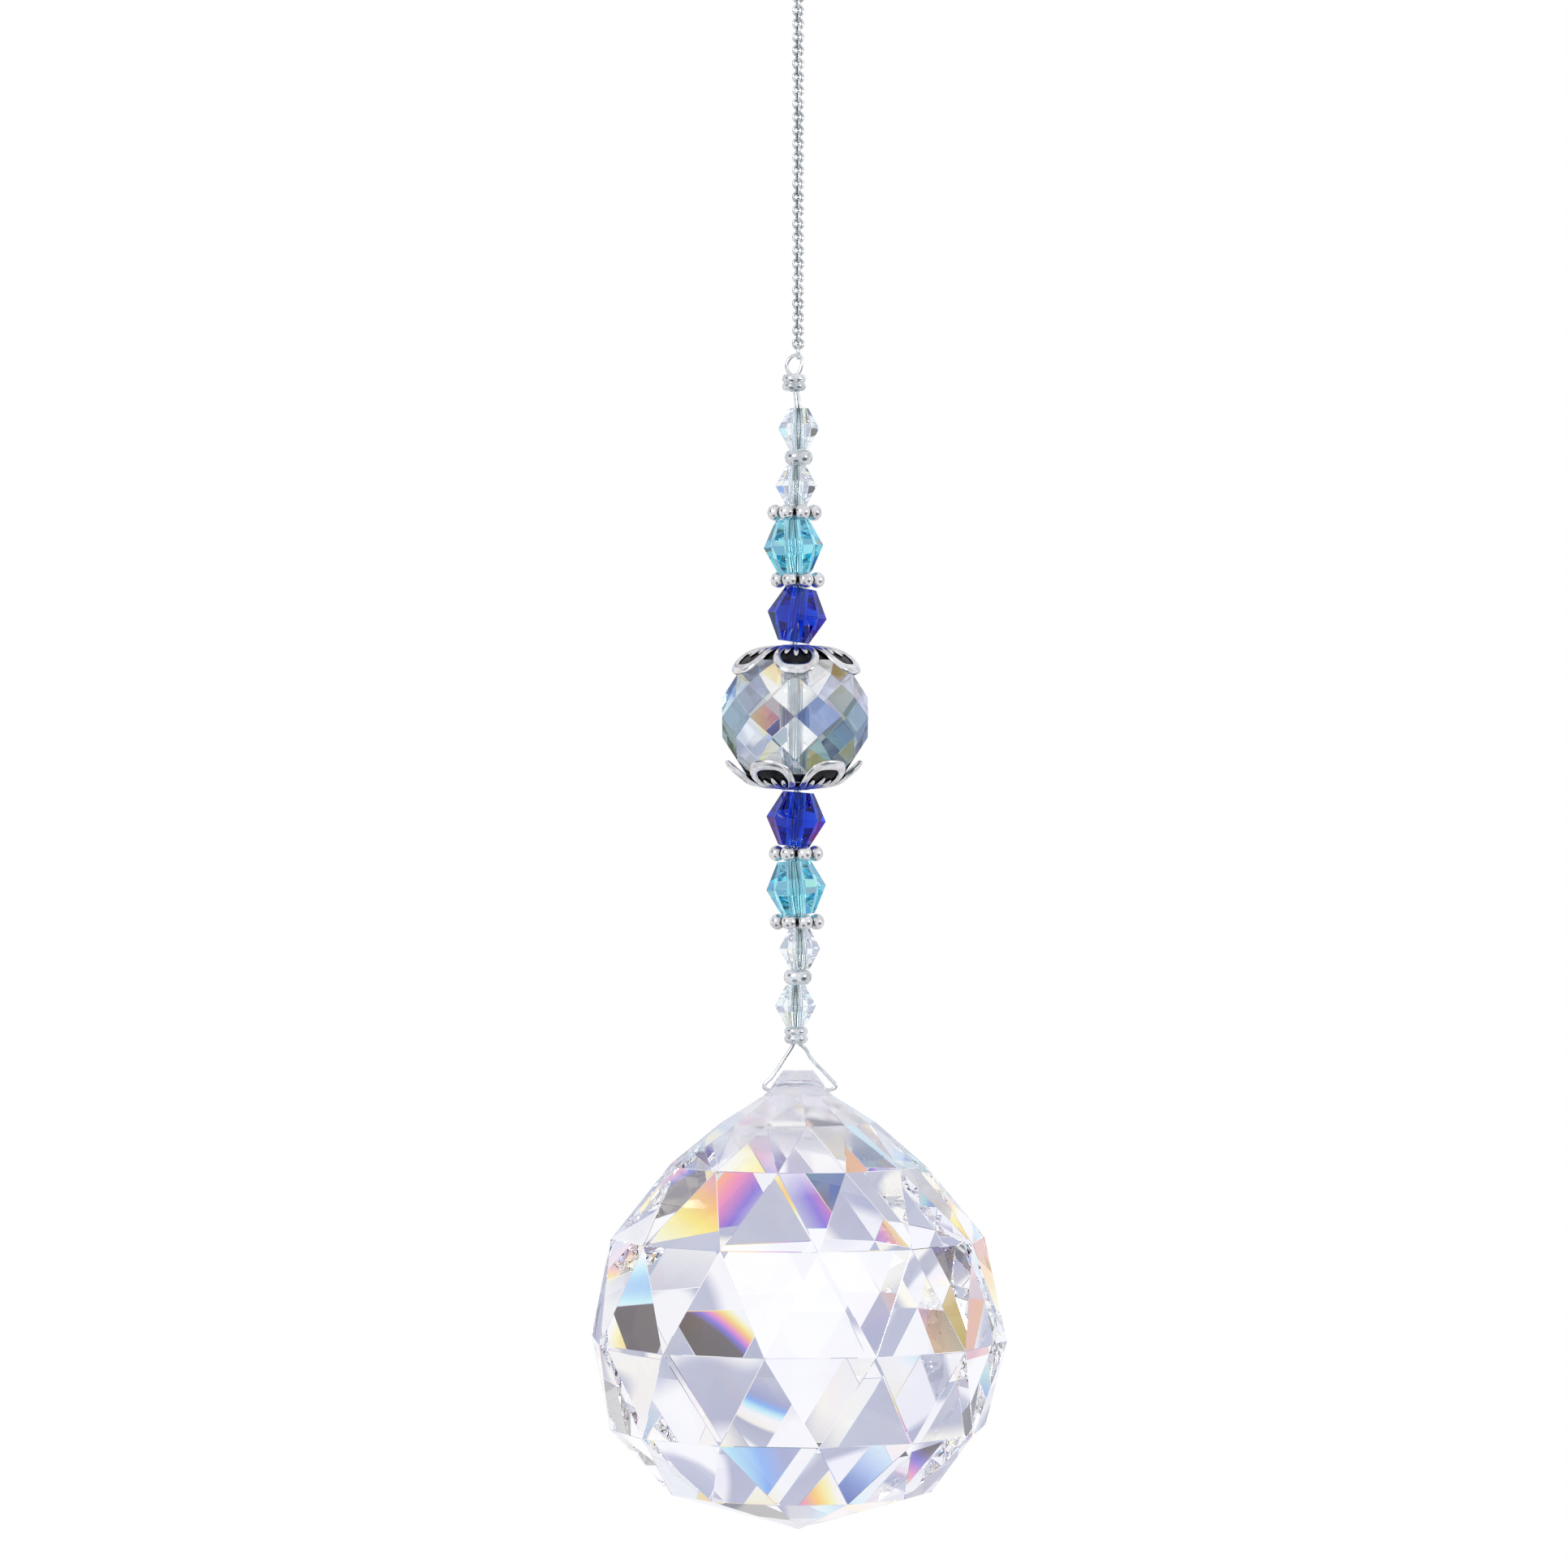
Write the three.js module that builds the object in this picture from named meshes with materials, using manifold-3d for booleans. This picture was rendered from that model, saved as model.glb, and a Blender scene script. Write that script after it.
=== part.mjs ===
// Crystal suncatcher: a faceted ball prism hung under a stack of glass and silver beads on a
// doubled beading wire, with a fine chain and a hanging ring on top.
//
// Millimetres, +Z up. The origin is the point inside the top of the hanging ring where a hook or
// a nail bears, and the suncatcher hangs below it. The front faces -Y.

import * as THREE from 'three';
import { ConvexGeometry } from 'three/addons/geometries/ConvexGeometry.js';
import { mergeVertices } from 'three/addons/utils/BufferGeometryUtils.js';
import Module from 'manifold-3d';

const wasm = await Module();
wasm.setup();

// ---- driving dimensions ----------------------------------------------------------------------

const RING = { radius: 3.5, wire: 0.25, sides: 6, steps: 24 };

// A link is a small ring of 0.3 mm wire, drawn as a hexagon of its area with flats at top and
// bottom, where it bites LINK_BITE into the next. The end links take the ring and the wire loop.
const LINK = { radius: 0.5, endRadius: 0.68, section: 0.185, sides: 4, steps: 6 };
const LINK_BITE = 0.04;
const CHAIN_LINKS = 55;
const END_GAP = 0.02;

// The loop of wire that the last link holds, and the crimp that closes it.
const LOOP_TOP = -42.04;
const TOP_CRIMP = { centre: -44.77, shift: -0.4 };
const BOTTOM_CRIMP = { centre: -107.45, shift: -0.2 };
const CRIMP = { radius: 1.15, height: 1.64, bore: 0.5, crease: 0.14 };

const WIRE = { radius: 0.2, spread: 0.17 };

// Beads threaded on the wire. A bicone is given by its girdle, its two tables and its bore.
const CLEAR_GLASS = { girdle: 2.08, table: 0.98, height: 3.95, bore: 0.55, facets: 10 };
const SKY_GLASS = { girdle: 2.88, table: 1.6, height: 5.15, bore: 0.6, facets: 8 };
const COBALT_GLASS = { girdle: 2.88, table: 1.5, height: 5.2, bore: 0.6, facets: 8 };
const ROUND_BEAD = { radius: 1.42, height: 1.5, bore: 0.6 };
const DAISY = { balls: 8, ballCircle: 2.0, ball: 0.76, hub: 1.5, hubHeight: 1.1, bore: 0.8 };

// The faceted rondelle: ten columns of planar facets between its girdle and its two tables.
const RONDELLE = { columns: 10, girdle: 7.35, shoulder: 5.85, shoulderZ: 4.1, crownZ: 5.6, halfHeight: 6.3 };
const RONDELLE_BORE = 0.75;

// A bead cap: a dome of cast metal, cut into six petals with an opening in each.
const CAP = { petals: 6, tip: 6.8, hub: 2.3, bore: 0.75, top: 6.98, seat: 6.38 };
const LOWER_CAP_TURN = 25;

const SEAT_GAP = 0.03;

// The ball prism, as rings of vertices about its centre: [height, radius, half a step round].
const BALL_CENTRE = -136.11;
const BALL_COLUMNS = 12;
const BALL_TURN = 21 * Math.PI / 180;
const BALL_RINGS = [
  [22.9, 3.3, true],
  [20.3, 7.45, true],
  [16.2, 12.4, false],
  [9.2, 18.05, true],
  [-0.5, 20.2, false],
  [-9.0, 18.15, true],
  [-15.0, 12.9, false],
];
const BALL_TIP = -18.8;
const NECK = { top: 25.3, topRadius: 1.45, holeZ: 23.45, holeRadius: 0.6 };

const DEGREE = Math.PI / 180;

// ---- finishes --------------------------------------------------------------------------------

const finish = (color, roughness, metalness) => new THREE.MeshStandardMaterial({ color, roughness, metalness });
const silver = () => finish(0xd4d6d8, 0.22, 1);
const antiqueSilver = () => finish(0xb4b4b2, 0.35, 1);
const clearGlass = () => finish(0xf2f5fb, 0.03, 0);
const skyGlass = () => finish(0x4cc3dc, 0.03, 0);
const cobaltGlass = () => finish(0x1324b8, 0.03, 0);
const platedGlass = () => finish(0xb9c6d6, 0.05, 0);

// ---- solids ----------------------------------------------------------------------------------

// A closed geometry as a solid that can be joined and cut.
function solid(geometry) {
  geometry.deleteAttribute('normal');
  geometry.deleteAttribute('uv');
  const merged = mergeVertices(geometry, 1e-5);
  const vertProperties = new Float32Array(merged.attributes.position.array);
  const triVerts = new Uint32Array(merged.index.array);
  return new wasm.Manifold(new wasm.Mesh({ numProp: 3, vertProperties, triVerts }));
}

// A solid back as a geometry for a mesh.
function geometryOf(body) {
  const { vertProperties, triVerts } = body.getMesh();
  const geometry = new THREE.BufferGeometry();
  geometry.setAttribute('position', new THREE.BufferAttribute(vertProperties, 3));
  geometry.setIndex(new THREE.BufferAttribute(triVerts, 1));
  geometry.computeVertexNormals();
  return geometry;
}

const join = (solids) => solids.reduce((whole, next) => whole.add(next));

// A profile of [radius, height] points spun about Z; it closes on itself round the bore.
function spun(profile, segments) {
  const points = [...profile, profile[0]].map(([r, z]) => new THREE.Vector2(r, z));
  return solid(new THREE.LatheGeometry(points, segments).rotateX(Math.PI / 2));
}

// A round bar of few sides along a smooth path.
function tube(points, section, steps) {
  const extrudePath = new THREE.CatmullRomCurve3(points, false, 'centripetal');
  return solid(new THREE.ExtrudeGeometry(section, { steps, bevelEnabled: false, extrudePath }));
}

// A regular section for a wire, with a corner on its own x axis.
function roundSection(radius, sides) {
  const corner = (i) => new THREE.Vector2(radius, 0).rotateAround(new THREE.Vector2(), i * 2 * Math.PI / sides);
  return new THREE.Shape(Array.from({ length: sides }, (_, i) => corner(i)));
}

// Vertices evenly round a circle. Angles count from the front, -Y, towards +X.
function ringPoints(count, radius, z, start) {
  return Array.from({ length: count }, (_, i) => {
    const angle = start + i * 2 * Math.PI / count;
    return new THREE.Vector3(radius * Math.sin(angle), -radius * Math.cos(angle), z);
  });
}

// ---- hanging ring and chain ------------------------------------------------------------------

function hangingRing() {
  const ring = new THREE.TorusGeometry(RING.radius, RING.wire, RING.sides, RING.steps);
  return solid(ring.rotateX(Math.PI / 2).translate(0, 0, RING.wire - RING.radius));
}

// Every other link faces the front. The first and the last stand edge-on, square to the hanging
// ring and to the wire loop that they hold.
const linkTurn = (i) => (i % 2 === 0 ? Math.PI / 2 : 0);

function link(radius, i, z) {
  const bent = new THREE.TorusGeometry(radius, LINK.section, LINK.sides, LINK.steps);
  return solid(bent.rotateX(Math.PI / 2).rotateZ(linkTurn(i)).translate(0, 0, z));
}

// The chain hangs taut from the ring's lower side to the top of the wire loop.
function chain() {
  const flat = Math.cos(Math.PI / LINK.steps);
  const endHole = (LINK.endRadius - LINK.section) * flat;
  const hole = (LINK.radius - LINK.section) * flat;
  const first = RING.wire - 2 * RING.radius - (endHole - RING.wire - END_GAP);
  const last = LOOP_TOP + endHole - WIRE.radius - END_GAP;
  const endPitch = endHole + hole + LINK_BITE;
  const count = CHAIN_LINKS - 2;
  const pitch = (first - last - 2 * endPitch) / (count - 1);
  const small = Array.from({ length: count }, (_, i) => link(LINK.radius, i + 1, first - endPitch - i * pitch));
  return join([link(LINK.endRadius, 0, first), ...small, link(LINK.endRadius, CHAIN_LINKS - 1, last)]);
}

// ---- beads -----------------------------------------------------------------------------------

function bicone({ girdle, table, height, bore, facets }) {
  const half = height / 2;
  return spun([[bore, -half], [table, -half], [girdle, 0], [table, half], [bore, half]], facets);
}

function roundBead({ radius, height, bore }) {
  const half = height / 2;
  const bulge = (angle) => [bore + 0.1 + (radius - bore - 0.1) * Math.cos(angle), half * Math.sin(angle)];
  const outside = [-90, -45, 0, 45, 90].map((degrees) => bulge(degrees * DEGREE));
  return spun([[bore, -half], ...outside, [bore, half]], 10);
}

// A crimp squashed round the wire, with a crease round its waist.
function crimp({ radius, height, bore, crease }) {
  const half = height / 2;
  const outside = [
    [0.72 * radius, -half],
    [radius, -0.5 * half],
    [radius - crease, 0],
    [radius, 0.5 * half],
    [0.72 * radius, half],
  ];
  return spun([[bore, -half], ...outside, [bore, half]], 8);
}

// A daisy spacer: a ring of small balls cast round a low hub.
function daisySpacer({ balls, ballCircle, ball, hub, hubHeight, bore }) {
  const half = hubHeight / 2;
  const collar = spun([[bore, -half], [hub, -half], [hub, half], [bore, half]], balls);
  const seats = ringPoints(balls, ballCircle, 0, Math.PI / balls);
  const beads = seats.map((seat) => solid(new THREE.IcosahedronGeometry(ball, 0).translate(...seat)));
  return join([collar, ...beads]);
}

// ---- rondelle and bead caps ------------------------------------------------------------------

// The rings of vertices are worked out so that each kite between them is flat: a facet's side
// corners lie on the line between its lower and upper corner, seen along the girdle.
function rondelle() {
  const { columns, girdle, shoulder, shoulderZ, crownZ, halfHeight } = RONDELLE;
  const step = Math.PI / columns;
  const inward = Math.cos(step);
  const kite = girdle * inward;
  const kiteZ = shoulderZ * (girdle - kite * inward) / (girdle - shoulder);
  const lean = (kite - shoulder * inward) / (shoulderZ - kiteZ);
  const crown = kite - lean * (crownZ - kiteZ);
  const crownLean = (shoulder - crown * inward) / (crownZ - shoulderZ);
  const table = (shoulder - crownLean * (halfHeight - shoulderZ)) / inward;
  const half = (side) => [
    ...ringPoints(columns, kite, side * kiteZ, step),
    ...ringPoints(columns, shoulder, side * shoulderZ, 0),
    ...ringPoints(columns, crown, side * crownZ, step),
    ...ringPoints(columns, table, side * halfHeight, step),
  ];
  const stone = new ConvexGeometry([...ringPoints(columns, girdle, 0, 0), ...half(1), ...half(-1)]);
  const bore = new THREE.CylinderGeometry(RONDELLE_BORE, RONDELLE_BORE, 4 * halfHeight, 12);
  return solid(stone).subtract(solid(bore.rotateX(Math.PI / 2)));
}

// One petal's outline, pointing along +Y.
function petalOutline() {
  const petal = new THREE.Shape();
  petal.moveTo(-0.55, 1.0);
  petal.bezierCurveTo(-1.1, 2.6, -2.45, 4.0, -2.2, 5.3);
  petal.bezierCurveTo(-2.0, 6.4, -1.1, CAP.tip, 0, CAP.tip);
  petal.bezierCurveTo(1.1, CAP.tip, 2.0, 6.4, 2.2, 5.3);
  petal.bezierCurveTo(2.45, 4.0, 1.1, 2.6, 0.55, 1.0);
  return petal;
}

// The heart-shaped opening in a petal. Its last point repeats its first, so it is left out.
function openingOutline() {
  const opening = new THREE.Path();
  opening.moveTo(0, 3.0);
  opening.bezierCurveTo(-0.6, 3.4, -1.6, 4.6, -1.4, 5.1);
  opening.bezierCurveTo(-1.0, 5.9, 1.0, 5.9, 1.4, 5.1);
  opening.bezierCurveTo(1.6, 4.6, 0.6, 3.4, 0, 3.0);
  return new THREE.Shape(opening.getPoints(3).slice(0, -1));
}

// A cap's dome as it sits over the rondelle: heights count from the rondelle's centre.
function capDome() {
  const { bore, top, seat } = CAP;
  const inside = [[bore, seat], [4.1, seat], [5.45, 5.15], [6.35, 3.95]];
  const outside = [[6.75, 4.1], [5.95, 5.45], [4.4, 6.65], [2.7, top], [bore, top]];
  return spun([...inside, ...outside], 18);
}

// An outline as a cutter that passes right through the dome.
function cutter(outline) {
  const prism = new THREE.ExtrudeGeometry(outline, { depth: 5, curveSegments: 3, bevelEnabled: false });
  return solid(prism.translate(0, 0, 3));
}

function beadCap() {
  const petal = cutter(petalOutline()).subtract(cutter(openingOutline()));
  const turn = 360 / CAP.petals;
  const petals = Array.from({ length: CAP.petals }, (_, i) => petal.rotate([0, 0, i * turn]));
  const hub = new THREE.CylinderGeometry(CAP.hub, CAP.hub, 5, 12).rotateX(Math.PI / 2).translate(0, 0, 5.5);
  return join([solid(hub), ...petals]).intersect(capDome());
}

// ---- ball prism ------------------------------------------------------------------------------

function ballPrism() {
  const step = Math.PI / BALL_COLUMNS;
  const rings = BALL_RINGS.map(([z, radius, staggered]) => {
    return ringPoints(BALL_COLUMNS, radius, z, BALL_TURN + (staggered ? step : 0));
  });
  const body = new ConvexGeometry([...rings.flat(), new THREE.Vector3(0, 0, BALL_TIP)]);
  const neckTop = ringPoints(BALL_COLUMNS, NECK.topRadius, NECK.top, BALL_TURN + step);
  const neckFoot = ringPoints(BALL_COLUMNS, BALL_RINGS[0][1], BALL_RINGS[0][0], BALL_TURN + step);
  const sunk = ringPoints(BALL_COLUMNS, BALL_RINGS[0][1], BALL_RINGS[0][0] - 1, BALL_TURN + step);
  const neck = new ConvexGeometry([...neckTop, ...neckFoot, ...sunk]);
  const hole = new THREE.CylinderGeometry(NECK.holeRadius, NECK.holeRadius, 12, 10);
  hole.rotateZ(Math.PI / 2).translate(0, 0, NECK.holeZ);
  return solid(body).add(solid(neck)).subtract(solid(hole));
}

// ---- the stack of beads ----------------------------------------------------------------------

// From the bottom crimp up. Each bead leans and sits a little off the line, as threaded beads do.
const beadRow = (name, make, size, lean = 0, shift = 0, flip = false) => ({ name, make, size, lean, shift, flip });
const STACK = [
  beadRow('clear_bicone_4', bicone, CLEAR_GLASS, 0, -0.25),
  beadRow('round_bead_lower', roundBead, ROUND_BEAD, 0, -0.05),
  beadRow('clear_bicone_3', bicone, CLEAR_GLASS, 0, 0.15),
  beadRow('daisy_spacer_4', daisySpacer, DAISY, 0, -0.1),
  beadRow('sky_bicone_2', bicone, SKY_GLASS, -5, -0.2),
  beadRow('daisy_spacer_3', daisySpacer, DAISY, 0, -0.2),
  beadRow('cobalt_bicone_2', bicone, COBALT_GLASS, 5, -0.2),
  beadRow('bead_cap_lower', beadCap, CAP, 0, -0.4, true),
  beadRow('faceted_rondelle', rondelle, RONDELLE, 0, -0.3),
  beadRow('bead_cap_upper', beadCap, CAP, 0, -0.2),
  beadRow('cobalt_bicone_1', bicone, COBALT_GLASS, 8, -0.1),
  beadRow('daisy_spacer_2', daisySpacer, DAISY, 0, -0.05),
  beadRow('sky_bicone_1', bicone, SKY_GLASS, -3, -0.45),
  beadRow('daisy_spacer_1', daisySpacer, DAISY, 0, -0.35),
  beadRow('clear_bicone_2', bicone, CLEAR_GLASS, 0, -0.2),
  beadRow('round_bead_upper', roundBead, ROUND_BEAD, 0, 0.05),
  beadRow('clear_bicone_1', bicone, CLEAR_GLASS, 0, 0.05),
];

// How much of the stack's height a bead takes where its neighbours touch it.
function stackHeight({ make, size, lean }) {
  if (make === beadCap) return CAP.top - RONDELLE.halfHeight;
  if (make === rondelle) return 2 * RONDELLE.halfHeight;
  if (make === daisySpacer) return size.hubHeight;
  const angle = Math.abs(lean) * DEGREE;
  const flat = size.table ?? 0;
  return size.height * Math.cos(angle) + 2 * flat * Math.sin(angle);
}

function placedStack() {
  let z = BOTTOM_CRIMP.centre + CRIMP.height / 2;
  return STACK.map((bead) => {
    const height = stackHeight(bead);
    const middle = z + SEAT_GAP + height / 2;
    z = middle + height / 2;
    return { ...bead, height, middle };
  });
}

// ---- beading wire ----------------------------------------------------------------------------

const inPlane = (pairs) => pairs.map(([x, z]) => new THREE.Vector3(x, 0, z));

// The doubled run threads every bead along its bore, from crimp to crimp.
function doubledRun(beads) {
  const through = beads.flatMap(({ middle, height, lean, shift }) => {
    const reach = 0.42 * height;
    const swing = reach * Math.tan(lean * DEGREE);
    return [[shift - swing, middle - reach], [shift + swing, middle + reach]];
  });
  const ends = [[BOTTOM_CRIMP.shift, BOTTOM_CRIMP.centre - 0.4], [BOTTOM_CRIMP.shift, BOTTOM_CRIMP.centre + 0.6]];
  const tops = [[TOP_CRIMP.shift, TOP_CRIMP.centre - 0.6], [TOP_CRIMP.shift, TOP_CRIMP.centre + 0.4]];
  const { radius, spread } = WIRE;
  const corners = [[radius, spread], [0, spread + radius], [-radius, spread]];
  const across = corners.map(([x, y]) => [-x, -y]);
  const section = new THREE.Shape([...corners, ...across].map(([x, y]) => new THREE.Vector2(x, y)));
  return tube(inPlane([...ends, ...through, ...tops]), section, 32);
}

// The loop above the top crimp, drawn up to one side by the chain's last link.
function topLoop() {
  const { shift, centre } = TOP_CRIMP;
  const path = [
    [shift - WIRE.spread, centre - 0.4],
    [shift - WIRE.spread, centre + 0.5],
    [-1.1, LOOP_TOP - 1.3],
    [-0.85, LOOP_TOP - 0.42],
    [0, LOOP_TOP],
    [0.36, LOOP_TOP - 0.6],
    [0.2, LOOP_TOP - 1.5],
    [shift + WIRE.spread, centre + 0.5],
    [shift + WIRE.spread, centre - 0.4],
  ];
  return tube(inPlane(path), roundSection(WIRE.radius, 6), 18);
}

// The loop below the bottom crimp, through the cross hole in the ball's neck.
function bottomLoop() {
  const { shift, centre } = BOTTOM_CRIMP;
  const hole = BALL_CENTRE + NECK.holeZ;
  const path = [
    [shift - WIRE.spread, centre + 0.4],
    [shift - WIRE.spread, centre - 0.6],
    [-1.2, hole + 3.2],
    [-2.5, hole + 1.25],
    [-3.3, hole + 0.35],
    [-2.8, hole],
    [0, hole],
    [2.8, hole],
    [3.6, hole + 0.3],
    [3.2, hole + 0.95],
    [1.35, hole + 2.9],
    [0.65, hole + 4],
    [shift + WIRE.spread, centre - 0.6],
    [shift + WIRE.spread, centre + 0.4],
  ];
  return tube(inPlane(path), roundSection(WIRE.radius, 6), 28);
}

const beadingWire = (beads) => join([doubledRun(beads), topLoop(), bottomLoop()]);

// ---- the suncatcher --------------------------------------------------------------------------

const suncatcher = new THREE.Group();

function addPiece(name, body, material, place = {}) {
  const mesh = new THREE.Mesh(geometryOf(body), material);
  mesh.name = name;
  mesh.position.set(place.x ?? 0, 0, place.z ?? 0);
  mesh.rotation.set(place.flip ? Math.PI : 0, place.lean ?? 0, 0);
  suncatcher.add(mesh);
}

const GLASS_BY_NAME = { clear: clearGlass, sky: skyGlass, cobalt: cobaltGlass, faceted: platedGlass };

function stackFinish(name) {
  const glass = GLASS_BY_NAME[name.split('_')[0]];
  if (glass) return glass();
  return name.startsWith('round') ? silver() : antiqueSilver();
}

// A cap's own heights count from the rondelle's centre, so both caps are placed there. The upper
// one has a petal at the front, and the lower one, turned over, has a gap near the front.
function placeBead(bead, rondelleZ) {
  const body = bead.make(bead.size);
  const isCap = bead.make === beadCap;
  const turned = bead.flip ? body.rotate([0, 0, LOWER_CAP_TURN]) : body;
  const z = isCap ? rondelleZ : bead.middle;
  const place = { x: bead.shift, z, lean: bead.lean * DEGREE, flip: bead.flip };
  addPiece(bead.name, turned, stackFinish(bead.name), place);
}

const beads = placedStack();
const rondelleZ = beads.find((bead) => bead.make === rondelle).middle;

addPiece('hanging_ring', hangingRing(), silver());
addPiece('chain', chain(), silver());
addPiece('beading_wire', beadingWire(beads), silver());
addPiece('top_crimp', crimp(CRIMP), silver(), { x: TOP_CRIMP.shift, z: TOP_CRIMP.centre });
beads.forEach((bead) => placeBead(bead, rondelleZ));
addPiece('bottom_crimp', crimp(CRIMP), silver(), { x: BOTTOM_CRIMP.shift, z: BOTTOM_CRIMP.centre });
addPiece('ball_prism', ballPrism(), clearGlass(), { z: BALL_CENTRE });

export default suncatcher;
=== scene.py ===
"""Crystal suncatcher: a faceted ball prism under a stack of glass and silver beads, on a chain.

Shapes are modelled in millimetres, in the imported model's own frame, and become metres when they
are made into objects. The front faces -Y and the suncatcher hangs from the origin down -Z.
"""

import logging
import math
from dataclasses import dataclass
from enum import Enum
from typing import Callable, Sequence

import bmesh
import bpy
from mathutils import Matrix, Vector
from mathutils.geometry import interpolate_bezier


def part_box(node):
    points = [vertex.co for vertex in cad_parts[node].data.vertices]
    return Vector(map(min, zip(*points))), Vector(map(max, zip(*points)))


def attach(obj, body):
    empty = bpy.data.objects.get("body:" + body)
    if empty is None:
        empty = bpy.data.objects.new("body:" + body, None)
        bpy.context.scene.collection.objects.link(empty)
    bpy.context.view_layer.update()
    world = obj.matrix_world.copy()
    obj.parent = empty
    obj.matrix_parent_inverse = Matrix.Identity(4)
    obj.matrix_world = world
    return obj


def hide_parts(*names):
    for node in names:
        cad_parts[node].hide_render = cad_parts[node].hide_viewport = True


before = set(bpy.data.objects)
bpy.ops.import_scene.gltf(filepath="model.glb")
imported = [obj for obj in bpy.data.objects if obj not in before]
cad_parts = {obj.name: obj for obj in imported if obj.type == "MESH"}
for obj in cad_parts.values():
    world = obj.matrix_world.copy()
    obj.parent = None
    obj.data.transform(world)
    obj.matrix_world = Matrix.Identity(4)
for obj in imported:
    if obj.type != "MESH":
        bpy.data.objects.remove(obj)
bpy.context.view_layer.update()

LOG = logging.getLogger("suncatcher")
MM = 0.001
FULL_TURN = 2 * math.pi
QUARTER_TURN = math.pi / 2
UP = Vector((0, 0, 1))
BACKWARDS = Vector((0, 1, 0))

# Faces that meet at a flatter angle than this are one facet.
ONE_FACET = math.radians(0.7)

# The attributes that the materials read.
FACET_TONE = "facet_tone"
BAND = "band"
FADE = "fade"

# How a facet's tone changes with the way it faces, so that neighbours differ.
TONE_WAVES = Vector((9.0, 14.0, 11.0))

Spot = tuple[float, float, float]
Colour = tuple[float, float, float]
Stop = tuple[float, Colour]
Shape = bmesh.types.BMesh


class Slot(Enum):
    """The material slots' names: each piece keeps one, and takes its finish from its finishes."""

    SILVER = "silver"
    ANTIQUE_SILVER = "antique_silver"
    CLEAR_GLASS = "clear_glass"
    CRYSTAL = "crystal"
    SKY_GLASS = "sky_glass"
    COBALT_GLASS = "cobalt_glass"
    PLATED_GLASS = "plated_glass"


class Shading(Enum):
    """How a piece's faces catch the light: the sharpest angle that is still smoothed over."""

    FACETED = 0.0
    CAST = math.radians(50)


# ---- materials -------------------------------------------------------------------------------


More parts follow.
